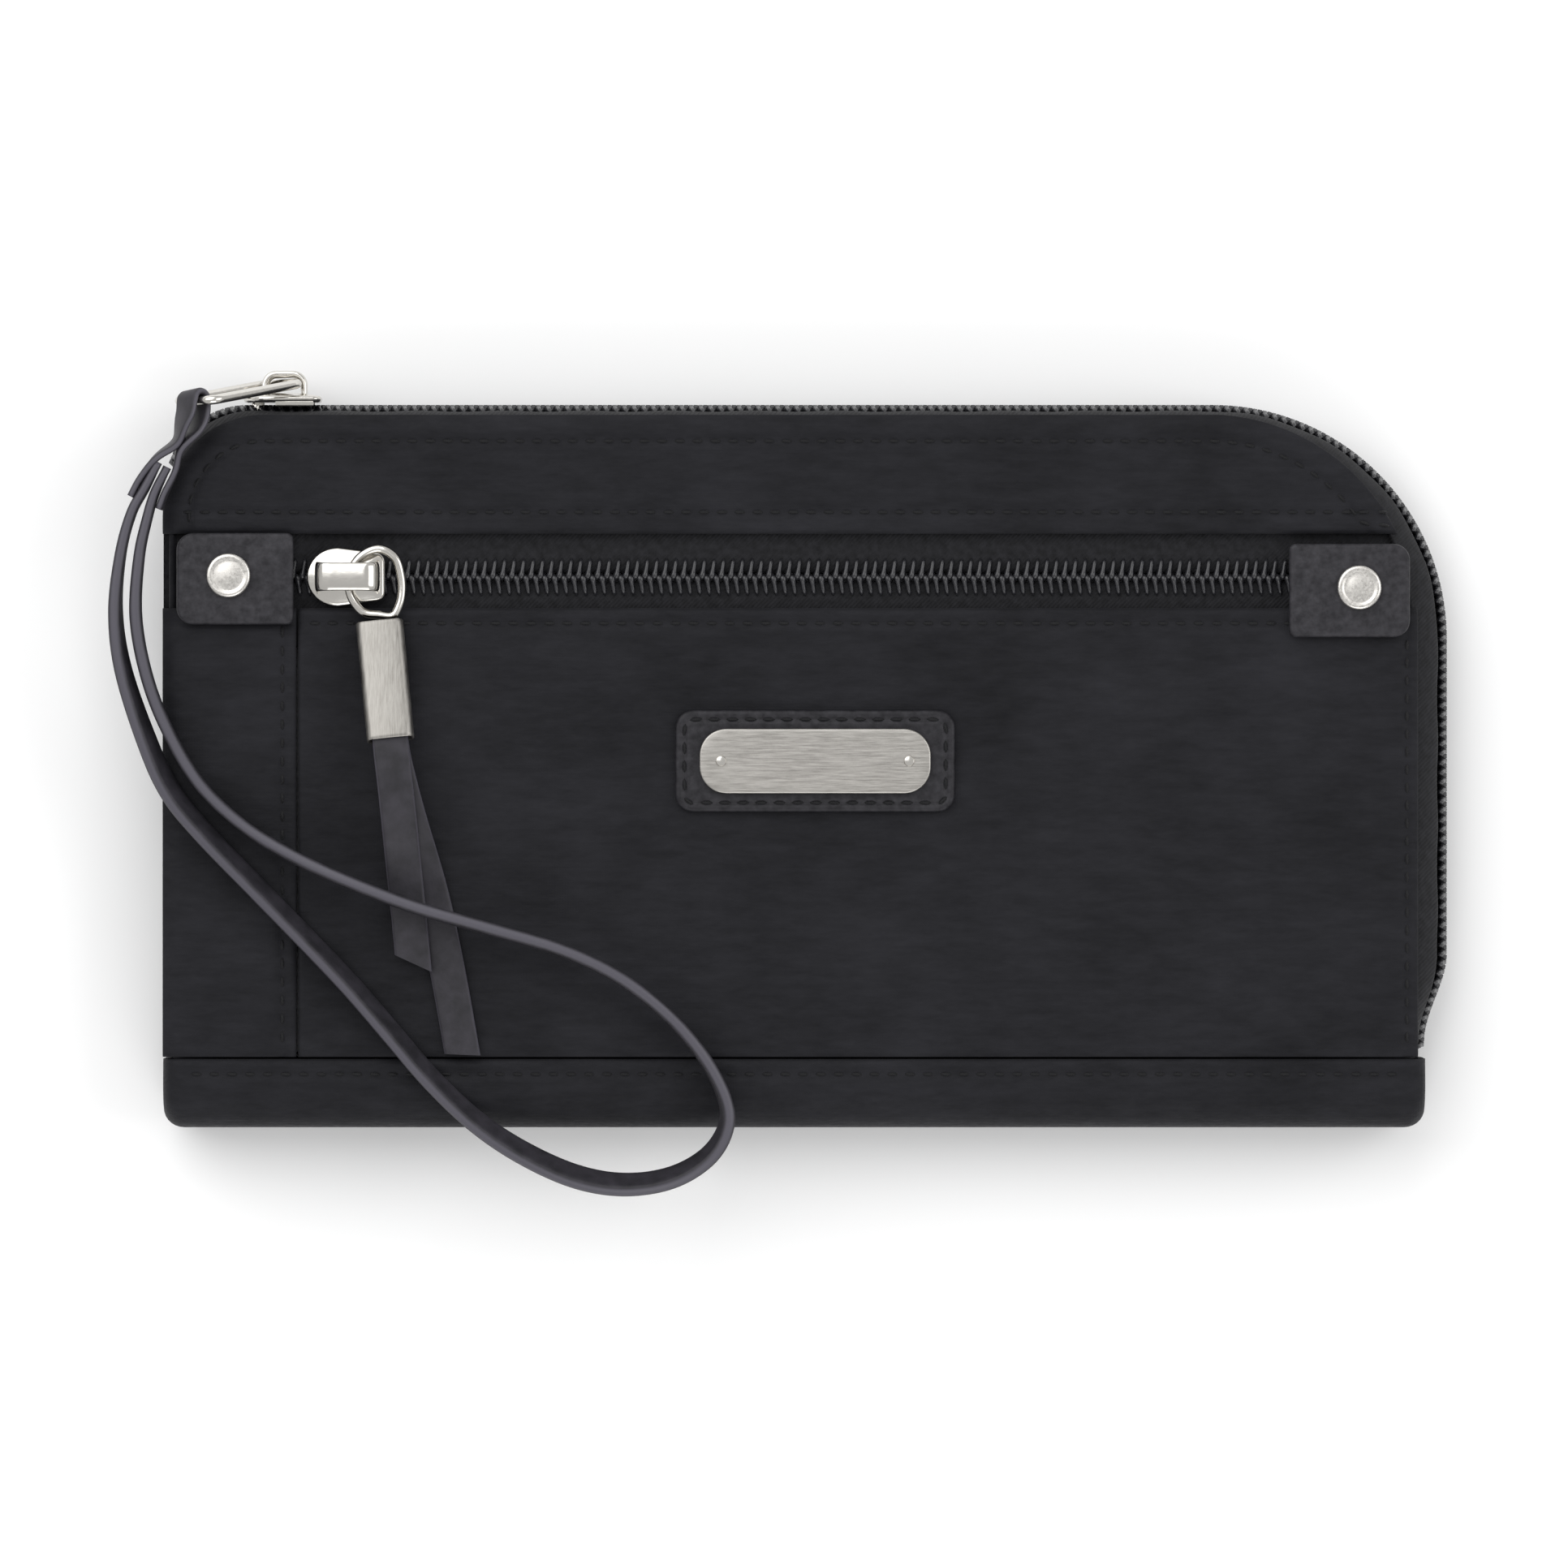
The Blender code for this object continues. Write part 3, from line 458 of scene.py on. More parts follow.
def crinkled_nylon():
    """Near-black nylon: fine weave, a soft crinkle that runs mostly across, and a thin sheen."""
    made = new_finish("crinkled_nylon", colour(30, 30, 32), 0.62, Sheen_Weight=0.03, Sheen_Roughness=0.45,
                      Specular_IOR_Level=0.12)
    place = place_on(made)
    streaks = noise(made, place_on(made, (0.28, 1, 1)), 0.62, 5.0, 0.62)
    creases = noise(made, place_on(made, (0.5, 1.25, 1)), 1.6, 3.0)
    slow = noise(made, place, 0.045, 2.0)
    mottle = node(made, "ShaderNodeMath", {0: streaks, 1: slow}, operation="ADD").outputs[0]
    half = node(made, "ShaderNodeMath", {0: mottle, 1: 0.5}, operation="MULTIPLY").outputs[0]
    tone = between(made, half, colour(18, 18, 21), colour(36, 36, 40))
    first = bump(made, streaks, 0.5, 0.22)
    second = bump(made, creases, 0.35, 0.1, first)
    third = bump(made, weave(made, place, 0.42), 0.3, 0.05, second)
    plug(made, Base_Color=tone, Normal=third, Roughness=levels(made, creases, 0.54, 0.7))
    return made


def zip_tape():
    """Black tape: a close diagonal twill."""
    made = new_finish("zip_tape", colour(26, 26, 28), 0.7, Sheen_Weight=0.03, Specular_IOR_Level=0.15)
    place = place_on(made, turn=math.radians(45))
    twill = threads(made, place, 0.5, 0.4)
    tone = between(made, noise(made, place, 0.9), colour(20, 20, 22), colour(34, 34, 37))
    plug(made, Base_Color=tone, Normal=bump(made, twill, 0.5, 0.08))
    return made


def lining_cloth():
    """Mid-grey lining with a plain weave and faint slubs."""
    made = new_finish("lining_cloth", colour(122, 122, 126), 0.75, Sheen_Weight=0.1,
                      Specular_IOR_Level=0.3)
    place = place_on(made)
    slubs = noise(made, place_on(made, (0.15, 1.6, 1)), 1.1, 3.0)
    tone = between(made, slubs, colour(108, 108, 112), colour(134, 134, 138))
    plug(made, Base_Color=tone, Normal=bump(made, weave(made, place, 0.5), 0.4, 0.06))
    return made


def sewing_thread():
    """Charcoal thread with the twist of its plies."""
    made = new_finish("sewing_thread", colour(22, 22, 24), 0.6, Sheen_Weight=0.05, Specular_IOR_Level=0.2)
    twist = threads(made, place_on(made, turn=math.radians(35)), 0.35, 0.0)
    plug(made, Normal=bump(made, twist, 0.6, 0.05))
    return made


def coil_plastic():
    """Smooth black nylon of the zipper coil, with fine scuffs."""
    made = new_finish("coil_plastic", colour(34, 34, 37), 0.28, Specular_IOR_Level=0.6)
    scuffs = noise(made, place_on(made), 2.2, 3.0)
    tone = between(made, scuffs, colour(28, 28, 31), colour(42, 42, 46))
    plug(made, Base_Color=tone, Roughness=levels(made, scuffs, 0.2, 0.36))
    return made


NYLON, TAPE, LINING = crinkled_nylon(), zip_tape(), lining_cloth()
THREAD, COIL = sewing_thread(), coil_plastic()
print("cloth finishes:", NYLON.name, TAPE.name, LINING.name, THREAD.name, COIL.name)

# %% [markdown]
# ## Leather
# The tabs and the patch are grained leather, a skin of small rounded pebbles: Voronoi cells give those,
# where plain noise would look like sand. The strap and the laces are narrow strips of smoother leather,
# and their cut edges are painted a paler grey, partly edge paint and partly a painted highlight where
# the edges catch the light, so their finish follows a map that runs along and across the strip.


# %% Leather
def pebbled_leather(name="pebbled_leather", tone=(41, 40, 44)):
    """Dark leather: small rounded pebbles from Voronoi cells, finer creases on them, worn high spots."""
    made = new_finish(name, colour(*tone), 0.5, Specular_IOR_Level=0.25)
    place = place_on(made)
    pebbles = node(made, "ShaderNodeTexVoronoi", {"Vector": place, "Scale": 1.15, "Smoothness": 0.35},
                   feature="SMOOTH_F1").outputs["Distance"]
    pores = noise(made, place, 2.8, 4.0)
    light = tuple(t + 12 for t in tone)
    dark = tuple(t - 13 for t in tone)
    first = bump(made, pebbles, -0.8, 0.3)
    second = bump(made, pores, 0.4, 0.08, first)
    plug(made, Base_Color=between(made, noise(made, place, 0.8, 4.0), colour(*dark), colour(*light)),
         Normal=second, Roughness=levels(made, pores, 0.42, 0.6))
    return made


def strap_leather():
    """Narrow strap leather: its across map runs from -1 to 1, and the edges there are paler: edge paint
    with a painted highlight.
    """
    made = new_finish("strap_leather", colour(44, 43, 48), 0.48, Specular_IOR_Level=0.3)
    uv = node(made, "ShaderNodeTexCoord").outputs["UV"]
    across = node(made, "ShaderNodeSeparateXYZ", {"Vector": uv}).outputs["Y"]
    away = node(made, "ShaderNodeMath", {0: across}, operation="ABSOLUTE").outputs[0]
    # mask of the paler edge band: edge paint, and a painted highlight on the edge that catches the light
    edge = levels(made, away, 0.0, 1.0, 0.90, 0.98)
    place = place_on(made)
    grain = noise(made, place, 1.9, 4.0)
    face = between(made, noise(made, place, 0.35, 3.0), colour(36, 35, 39), colour(52, 50, 56))
    # paler edge colour: edge paint with a painted highlight laid on it
    edge_paint_and_highlight = {"Factor": edge, "A": face, "B": colour(80, 78, 86)}
    tone = node(made, "ShaderNodeMix", edge_paint_and_highlight, data_type="RGBA").outputs["Result"]
    plug(made, Base_Color=tone, Normal=bump(made, grain, 0.4, 0.08),
         Roughness=levels(made, edge, 0.5, 0.36, 0, 1))
    return made


LEATHER, STRAP_LEATHER = pebbled_leather(), strap_leather()
PATCH_LEATHER = pebbled_leather("smooth_patch_leather", (35, 34, 38))
print("leathers:", LEATHER.name, PATCH_LEATHER.name, STRAP_LEATHER.name)

# %% [markdown]
# ## Metals
# All the metal is nickel plate. The sliders and rings are polished, with faint waves that break up a
# reflection. The plate, the ferrule and the rivets are brushed or satin: noise stretched along the
# brushing gives the lines, which costs less than an anisotropic shader and still shows in the exported
# model.


# %% Metals
def polished_nickel():
    """Bright plate with faint waves and hairline scuffs."""
    made = new_finish("polished_nickel", colour(214, 211, 205), 0.14, 1.0)
    place = place_on(made)
    waves = noise(made, place, 0.35, 2.0)
    scuffs = noise(made, place_on(made, (0.3, 3.0, 1)), 3.0, 4.0)
    plug(made, Normal=bump(made, waves, 0.25, 0.12), Roughness=levels(made, scuffs, 0.1, 0.24))
    return made


def brushed_nickel(name, stretch, dark, light, rough):
    """Nickel brushed one way: noise drawn out along it, on the roughness, the colour and the bump."""
    made = new_finish(name, colour(light, light - 3, light - 8), rough, 1.0)
    lines = noise(made, place_on(made, stretch), 4.0, 4.0, 0.7)
    tone = between(made, lines, colour(dark, dark - 3, dark - 8), colour(light, light - 3, light - 8))
    plug(made, Base_Color=tone, Normal=bump(made, lines, 0.3, 0.03),
         Roughness=levels(made, lines, rough - 0.07, rough + 0.09))
    return made


NICKEL = polished_nickel()
PLATE_NICKEL = brushed_nickel("brushed_along_plate", (0.06, 1.0, 1.0), 156, 190, 0.38)
FERRULE_NICKEL = brushed_nickel("brushed_down_ferrule", (1.0, 0.06, 0.3), 136, 176, 0.42)
SATIN_NICKEL = brushed_nickel("satin_nickel", (0.6, 0.6, 0.6), 200, 230, 0.3)
print("metals:", NICKEL.name, PLATE_NICKEL.name, FERRULE_NICKEL.name, SATIN_NICKEL.name)

# %% [markdown]
# ## The front panels
# Three pieces of nylon make the front: one above the pocket zipper, one below it, and a narrow one to
# the left of the upright seam. Each is a grid of rows that reach from the pouch's left outline to its
# right. Its height is the face less a quarter-round drop near each edge, a furrow along each row of
# stitches, and slow ripples. A simulated cloth would sag between the edges, but this cloth is sewn
# tight over padding, so a formula fits it better.


# %% Height of the face
def outline_distance(x, y):
    """How far a plan point lies inside the pouch's outline, which has a small and a large top corner."""
    straight = np.minimum.reduce([x - LEFT, RIGHT - x, TOP - y])
    for edge, radius, side in ((LEFT, CORNER_LEFT, -1), (RIGHT, CORNER_RIGHT, 1)):
        dx, dy = side * (x - edge) + radius, y - (TOP - radius)
        inside = (dx > 0) & (dy > 0)
        straight = np.where(inside, radius - np.hypot(dx, dy), straight)
    return straight


def drop(distance, depth, reach):
    """Fall of a folded edge: depth times the nearness to the power 2.4, nothing beyond reach."""
    near = np.clip(1 - distance / reach, 0, 1)
    return depth * near**2.4


def furrow(distance, depth=0.3, width=0.75):
    """The groove that a row of stitches pulls into padded cloth."""
    return depth * np.exp(-((distance / width) ** 2))


def ripple(x, y):
    """Slow unevenness of sewn cloth: a few sines with unrelated directions and lengths."""
    waves = 0.07 * np.sin(0.11 * x + 0.23 * y + 1.0) * np.sin(0.05 * x - 0.19 * y)
    waves += 0.04 * np.sin(0.37 * y + 0.06 * x) * np.sin(0.21 * x + 0.5)
    return waves + 0.02 * np.sin(0.9 * y + 0.25 * x) * np.sin(0.4 * x - 0.3 * y)


EDGE_FALL, EDGE_REACH = 1.1, 3.2
SLOT_FALL, SLOT_REACH = 0.55, 1.1
TOP_STITCH, SLOT_STITCH = 4.2, SLOT_TOP + 3.4
POCKET_STITCH, SIDE_STITCH, RIGHT_STITCH = SLOT_BOTTOM - 2.4, SEAM_X - 2.2, RIGHT - 1.8


def face_height(x, y):
    """Height of the front cloth anywhere on the face."""
    inside = outline_distance(x, y)
    upper = y > (SLOT_TOP + SLOT_BOTTOM) / 2
    to_slot = np.where(upper, y - SLOT_TOP, SLOT_BOTTOM - y)
    z = DEPTH + 0.05 + ripple(x, y) - drop(inside, EDGE_FALL, EDGE_REACH)
    z = z - drop(to_slot, SLOT_FALL, SLOT_REACH) - drop(y - SEAM_Y, 0.45, 1.3)
    above = furrow(inside - TOP_STITCH) + furrow(y - SLOT_STITCH)
    below = furrow(y - POCKET_STITCH) + furrow(x - SIDE_STITCH) + furrow(x - RIGHT_STITCH)
    return z - np.where(upper, above, below + drop(np.abs(x - SEAM_X - 0.15), 0.5, 1.0))


print("height in the middle", round(float(face_height(np.array(0.0), np.array(0.0))), 2), "mm")

# %% [markdown]
# ## Cutting the panels
# Each panel is a patch of the same face, so neighbours agree where they meet. A square grid cut to the
# outline would leave a ragged edge. Here each row runs from the outline on one side to the outline or
# seam on the other, and rows and columns crowd towards the edges, where the cloth curves most.


# %% Panels
def reach_at(y, side):
    """The outline's x at each y, on the left (-1) or the right (1)."""
    radius = CORNER_LEFT if side < 0 else CORNER_RIGHT
    above = np.clip(y - (TOP - radius), 0, radius)
    inset = radius - np.sqrt(np.clip(radius**2 - above**2, 0, None))
    return LEFT + inset if side < 0 else RIGHT - inset


def spread(low, high, count, crowd=0.85):
    """Values from low to high that crowd towards both ends, where a panel curves most."""
    even_share = np.linspace(0, 1, count)
    bent = (1 - np.cos(np.pi * even_share)) / 2
    return low + (high - low) * (crowd * bent + (1 - crowd) * even_share)


def panel_grid(low_y, high_y, left, right, rows, columns):
    """Rows at each y from the left edge to the right edge, both given as functions of y."""
    y = spread(low_y, high_y, rows)[:, None]
    share = spread(0, 1, columns, 0.6)[None, :]
    x = left(y) + (right(y) - left(y)) * share
    return x, y + 0 * x


def front_panel(name, node_name, low_y, high_y, left, right, rows, columns):
    """Height of the face over the rows between two edges, with the cloth's thickness under it."""
    x, y = panel_grid(low_y, high_y, left, right, rows, columns)
    grid = np.stack([x, y, face_height(x, y)], -1)
    thing = sheet(name, grid, NYLON, CLOTH)
    fit(thing, node_name, "front_cover")


def outline_left(y):
    return reach_at(y, -1)


def outline_right(y):
    return reach_at(y, 1)


def seam_left(y):
    return SEAM_X + 0 * y


def seam_right(y):
    return SEAM_X + 0.3 + 0 * y


low_y = box_mm("pocket_panel")[0][1]
front_panel("upper_front", "upper_panel", SLOT_TOP, TOP - 0.02, outline_left, outline_right, 70, 260)
front_panel("pocket_front", "pocket_panel", low_y, SLOT_BOTTOM, seam_right, outline_right, 120, 260)
front_panel("left_front", "left_panel", low_y, SLOT_BOTTOM, outline_left, seam_left, 120, 50)
print("front panels: upper, pocket and left")

# %% [markdown]
# ## The back panel
# The back is one piece of the same nylon. The pouch's weight presses it flat, so it needs no ripples,
# and only its rim lifts, where it is turned in under the zipper's tape.


# %% Back panel
def back_panel():
    """Flat at zero, rising near the outline and the band's seam by the same folded edge as the front."""
    x, y = panel_grid(low_y, TOP - 0.02, outline_left, outline_right, 110, 160)
    lift = drop(outline_distance(x, y), 0.8, 2.6) + drop(y - SEAM_Y, 0.4, 1.2)
    grid = np.stack([x, y, lift], -1)[:, ::-1]
    thing = sheet("back_cloth", grid, NYLON, CLOTH)
    fit(thing, "back_panel", "back_shell")


back_panel()
print("back cloth")

# %% [markdown]
# ## The bottom band
# The band is one strip folded round the bottom edge. Its section is a letter C that opens towards the
# compartment, carried along the pouch. A box with rounded edges would have flat ends; here the C
# shrinks to its middle at each end, which makes the cloth that is folded in there.

# %% Bottom band
BAND_RADIUS, BAND_TOP, BAND_CORNER, BAND_STITCH = 6.0, DEPTH + 0.25, 3.2, SEAM_Y - 2.4


def band_section(count=18):
    """The C from the back seam, round the bottom edge, to the front seam, as y and z."""
    low, high, radius = BAND_LOW[1], SEAM_Y, BAND_RADIUS
    back = np.column_stack([np.linspace(high, low + radius, count), np.zeros(count)])
    front = np.column_stack([np.linspace(low + radius, high, count), np.full(count, BAND_TOP)])
    turn = arc((low + radius, radius), radius, 270, 180, count)
    rise = arc((low + radius, BAND_TOP - radius), radius, 180, 90, count)
    back[:, 1] += drop(high - back[:, 0], 0.5, 1.2)
    front[:, 1] -= drop(high - front[:, 0], 0.5, 1.2)
    return np.vstack([back[:-1], turn, rise, front[1:]])


def bottom_band():
    """Section times a share that grows from a point at the end's middle to full size, round a corner."""
    section = band_section()
    middle = np.array([SEAM_Y, DEPTH / 2])
    ends = []
    angle = np.linspace(0, np.pi / 2, 8)
    steps_x = np.r_[np.zeros(8), BAND_CORNER * (1 - np.cos(angle))]
    inset = np.r_[np.full(8, BAND_CORNER), BAND_CORNER * (1 - np.sin(angle))]
    shares = np.r_[np.linspace(0.05, 1, 8), np.ones(8)]
    away = section - middle
    reach = np.linalg.norm(away, axis=1)[:, None]
    for low in (True, False):
        ring = middle + away * (1 - np.minimum(inset[:, None, None] / reach, 0.9)) * shares[:, None, None]
        x = BAND_LOW[0] + steps_x if low else BAND_HIGH[0] - steps_x
        block = np.concatenate([np.broadcast_to(x[:, None, None], ring.shape[:2] + (1,)), ring], -1)
        ends.append(block if low else block[::-1])
    x = np.linspace(BAND_LOW[0] + BAND_CORNER, BAND_HIGH[0] - BAND_CORNER, 160)[1:-1]
    run = np.empty((len(x), len(section), 3))
    run[..., 0] = x[:, None]
    run[..., 1:] = section
    front = (section[:, 1] > DEPTH - 1)[None, :]
    y = section[None, :, 0]
    run[..., 2] += np.where(front, ripple(x[:, None], y) - furrow(y - BAND_STITCH), 0)
    grid = np.vstack([ends[0], run, ends[1]])[:, ::-1]
    thing = sheet("bottom_fold", grid, NYLON, CLOTH)
    fit(thing, "bottom_band", "back_shell")


bottom_band()
print("bottom band")

# %% [markdown]
# ## The main zipper
# The zipper starts just round the top left corner, runs along the top, round the large corner and down
# the right side, and turns in at its end. Tapes and coils all follow one plan line, so it is worked out
# first, together with the line where the tapes are sewn to the cloth.


# %% The zipper's lines
COIL_RIGHT, COIL_TOP = box_mm("main_zip_coil_front")[1][:2]
ZIP_START = 160.0
ZIP_CORNER_LEFT, ZIP_CORNER_RIGHT = 13.0, 37.0
ZIP_STRAIGHT_END, ZIP_END_X, ZIP_END_Y = -30.0, 97.6, -44.0


def zip_line(left, top, small, right, big, end_x, count=360):
    """Round the top left corner, along the top, round the large corner, down, and in by a smooth step."""
    turn = arc((left + small, top - small), small, ZIP_START, 90, 20)
    corner = arc((right - big, top - big), big, 90, 0, 60)
    share = np.linspace(0, 1, 20)[1:]
    ease = share**2 * (3 - 2 * share)
    down_y = ZIP_STRAIGHT_END + (ZIP_END_Y - ZIP_STRAIGHT_END) * share
    down = np.column_stack([right + (end_x - right) * ease, down_y])
    return even(np.vstack([turn, corner, down]), count)


outer_line = zip_line(LEFT, COIL_TOP, ZIP_CORNER_LEFT, COIL_RIGHT, ZIP_CORNER_RIGHT, ZIP_END_X)
sewn_line = zip_line(LEFT + 1, TOP - 1, CORNER_LEFT - 1, RIGHT - 1, CORNER_RIGHT - 1, RIGHT - 1)
coil_line = outer_line + 0.85 * plan_normals(outer_line)
print("main zipper", round(length(coil_line)), "mm long")

# %% [markdown]
# ## The main tapes
# Two woven tapes are sewn under the front and the back cloth and bulge outwards to meet at the coil. A
# flat strip would show a slit beside the teeth, so each tape dips under the coil first and puckers a
# little along its seam.


# %% Tapes
def main_tape(side, word):
    """Coil line plus share squared times the way to the sewn line, less a dip under the coil."""
    share = np.linspace(0, 1, 34)[:, None, None]
    edge, seam, coil_reach, dip = 0.8, DEPTH / 2 - 1.1, 3.3, 0.75
    rise = edge + share * (seam - edge)
    under = np.clip((coil_reach + 1.2 - rise) / 1.6, 0, 1)
    plan = coil_line + (sewn_line - coil_line) * share**2
    along = np.linspace(0, length(coil_line), len(coil_line))
    pucker = 0.1 * np.sin(along / 2.1)[:, None] * (np.sin(np.pi * share[..., 0]) ** 2)[..., None]
    inwards = dip * under**2 * (3 - 2 * under) - pucker - 0.12 * np.sin(np.pi * share)
    plan = plan + plan_normals(coil_line) * inwards
    z = DEPTH / 2 + side * rise + 0 * plan[..., :1]
    grid = np.concatenate([plan, z], -1)
    grid = grid[:, ::-1] if side > 0 else grid
    thing = sheet(f"main_tape_{word}", grid, TAPE, 0.5)
    fit(thing, f"main_zip_tape_{word}", "front_cover" if side > 0 else "back_shell")


main_tape(1, "front")
main_tape(-1, "back")
print("main tapes")

# %% [markdown]
# ## The coils
# A coil is one nylon filament wound into loops, and each loop's head hooks between two heads on the
# other side. A true winding would be a helix with its back hidden. Only the loops' backs and heads
# show, so a tooth here is a closed capsule that thickens into a head, with few faces because it is
# copied hundreds of times.

# %% Coil teeth
PITCH, TOOTH_SLANT = 1.5, 0.16


def copies(name, one, axes, centres, finish):
    """The same capsule at each centre: its x, y, z become steps along the three directions given there."""
    rings, sides = one.shape[:2]
    count = len(centres)
    points = np.einsum("rsk,nkd->nrsd", one, axes) + centres[:, None, None, :]
    tips = np.stack([points[:, 0].mean(1), points[:, -1].mean(1)], 1)
    points = np.concatenate([points.reshape(count, -1, 3), tips], 1)
    quads = grid_faces(rings, sides, False, True)
    ring, last = np.arange(sides), (rings - 1) * sides
    start = np.stack([np.full(sides, rings * sides), np.roll(ring, -1), ring], -1)
    stop = np.stack([np.full(sides, rings * sides + 1), last + ring, last + np.roll(ring, -1)], -1)
    if volume(points[0], quads) < 0:
        quads, start, stop = quads[:, ::-1], start[:, ::-1], stop[:, ::-1]
    offsets = (np.arange(count) * (rings * sides + 2))[:, None, None]
    faces = [(part[None] + offsets).reshape(-1, part.shape[1]) for part in (quads, start, stop)]
    return build(name, points.reshape(-1, 3), faces, finish)


def tooth_rings(rings=7, sides=6):
    """One tooth along its own length: a slim shank that sinks by along squared and swells into a head."""
    share = np.linspace(0, 1, rings)
    along = 3.0 - 3.5 * share
    swell = 0.38 + 0.27 * np.exp(-(((along - 0.1) / 0.6) ** 2))
    radius = swell * np.sqrt(np.clip(1 - (2 * share - 1) ** 8, 0.02, 1))
    angle = np.linspace(0, 2 * np.pi, sides, endpoint=False)
    wide = radius[:, None] * np.cos(angle)
    deep = 1.5 * radius[:, None] * np.sin(angle) - 0.4 * (along[:, None] / 3) ** 2
    return np.stack([wide, along[:, None] + 0 * wide, deep], -1)


def teeth(name, centres, forward, across, outward, shift):
    """The same slanted tooth at each centre. shift staggers the two rows."""
    tooth = tooth_rings()
    tooth[..., 0] += TOOTH_SLANT * tooth[..., 1] + shift
    return copies(name, tooth, np.stack([forward, across, outward], 1), centres, COIL)


def main_coil(side, word):
    """Teeth along the plan line, half way up the pouch, that reach up (1) or down (-1)."""
    count = int(length(coil_line) / PITCH)
    line = even(coil_line, count)
    step = np.gradient(line, axis=0)
    step /= np.linalg.norm(step, axis=1)[:, None]
    flat = np.zeros((count, 1))
    forward = np.hstack([step, flat])
    outward = np.hstack([-plan_normals(line), flat])
    across = np.broadcast_to([0.0, 0.0, float(side)], forward.shape)
    centres = np.hstack([line, flat + DEPTH / 2])
    thing = teeth(f"main_coil_{word}", centres, forward, across, outward, PITCH / 4 * side)
    fit(thing, f"main_zip_coil_{word}", "front_cover" if side > 0 else "back_shell")
    return count


print("main coil teeth on each side:", main_coil(1, "front"), main_coil(-1, "back"))

# %% [markdown]
# ## The pocket zipper
# The same zipper, lying flat in the slot between the upper and the pocket panel: a tape and a row of teeth
# on each side. Each coil is stitched to its tape by one row of thread along the coil's back, which is not
# drawn here.


# %% Pocket tapes and coils
POCKET_Y = (box_mm("pocket_zip_coil_upper")[0][1] + box_mm("pocket_zip_coil_lower")[1][1]) / 2
POCKET_Z = sum(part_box("pocket_zip_coil_upper")[k][2] for k in (0, 1)) / 2 / MM


def pocket_half(side, word):
    """A level tape whose inner edge rounds off at both ends, and the row of teeth on it."""
    low, high = box_mm(f"pocket_zip_tape_{word}")
    share = np.linspace(0, 1, 14)[:, None]
    along = np.linspace(0, 1, 220)[None, :]
    outer = high[1] if side > 0 else low[1]
    near_end = np.clip(1 - np.minimum(along, 1 - along) / 0.1, 0, 1)
    inner = POCKET_Y + side * (0.7 - 0.72 * np.sqrt(near_end))
    y = inner + (outer - inner) * share
    x = LEFT + 0.1 + (reach_at(y, 1) - 0.25 - LEFT) * along
    z = POCKET_Z - 0.35 + 0.06 * np.sin(x / 1.7) * np.sin(np.pi * share)
    grid = np.stack([x, y, z], -1)
    tape = sheet(f"pocket_tape_{word}", grid if side > 0 else grid[:, ::-1], TAPE, 0.5)
    fit(tape, f"pocket_zip_tape_{word}", "front_cover")
    coil_low, coil_high = box_mm(f"pocket_zip_coil_{word}")
    centre_x = np.arange(coil_low[0] + 1, coil_high[0] - 1, PITCH)
    ones = np.ones_like(centre_x)
    centres = np.column_stack([centre_x, POCKET_Y * ones, (POCKET_Z + 0.1) * ones])
    forward = np.broadcast_to([1.0, 0.0, 0.0], centres.shape)
    across = np.broadcast_to([0.0, float(side), 0.0], centres.shape)
    outward = np.broadcast_to([0.0, 0.0, 1.0], centres.shape)
    coil = teeth(f"pocket_coil_{word}", centres, forward, across, outward, PITCH / 4 * side)
    fit(coil, f"pocket_zip_coil_{word}", "front_cover")
    return len(centre_x)


print("pocket coil teeth on each side:", pocket_half(1, "upper"), pocket_half(-1, "lower"))

# %% [markdown]
# ## Stitches
# A lockstitch shows as a row of short raised threads with their ends pulled into the cloth. Each stitch
# is one small capsule that follows its line and dips at both ends. All the stitches of a seam are one
# piece.


# %% Stitch rows
STITCH, STITCH_GAP, THREAD_RADIUS = 2.1, 0.7, 0.24


def stitches(name, line, body, height=None, rings=5, sides=6):
    """Capsules along a line of points, dipped by share squared. height(x, y) lays them on a surface."""
    count = max(int(length(line) / (STITCH + STITCH_GAP)), 1)
    middle = even(line, 2 * count + 1)[1::2]
    step = even(line, 2 * count + 1)
    forward = step[2::2] - step[:-2:2]
    if height is not None:
        middle = np.column_stack([middle[:, :2], height(middle[:, 0], middle[:, 1])])
        forward = np.column_stack([forward[:, :2], np.zeros(count)])
    forward = forward / np.linalg.norm(forward, axis=1)[:, None]
    left = np.cross([0.0, 0.0, 1.0], forward)
    left /= np.linalg.norm(left, axis=1)[:, None]
    axes = np.stack([forward, left, np.cross(forward, left)], 1)
    share = np.linspace(-1, 1, rings)
    radius = THREAD_RADIUS * np.sqrt(1.05 - share**4)
    angle = np.linspace(0, 2 * np.pi, sides, endpoint=False)
    along = STITCH / 2 * share[:, None] + 0 * angle
    raised = radius[:, None] * np.sin(angle) + 0.12 - 0.3 * share[:, None] ** 2
    one = np.stack([along, radius[:, None] * np.cos(angle), raised], -1)
    thing = copies(name, one, axes, middle, THREAD)
    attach(thing, body)
    return count


def inset_line(inset, low):
    """The outline moved inwards, from y = low on the left, over the top, to y = low on the right."""
    small, big = CORNER_LEFT - inset, CORNER_RIGHT - inset
    left = arc((LEFT + CORNER_LEFT, TOP - CORNER_LEFT), small, 180, 90, 30)
    right = arc((RIGHT - CORNER_RIGHT, TOP - CORNER_RIGHT), big, 90, 0, 60)
    line = np.vstack([[LEFT + inset, low], left, right, [RIGHT - inset, low]])
    return line[line[:, 1] >= low - 0.01]


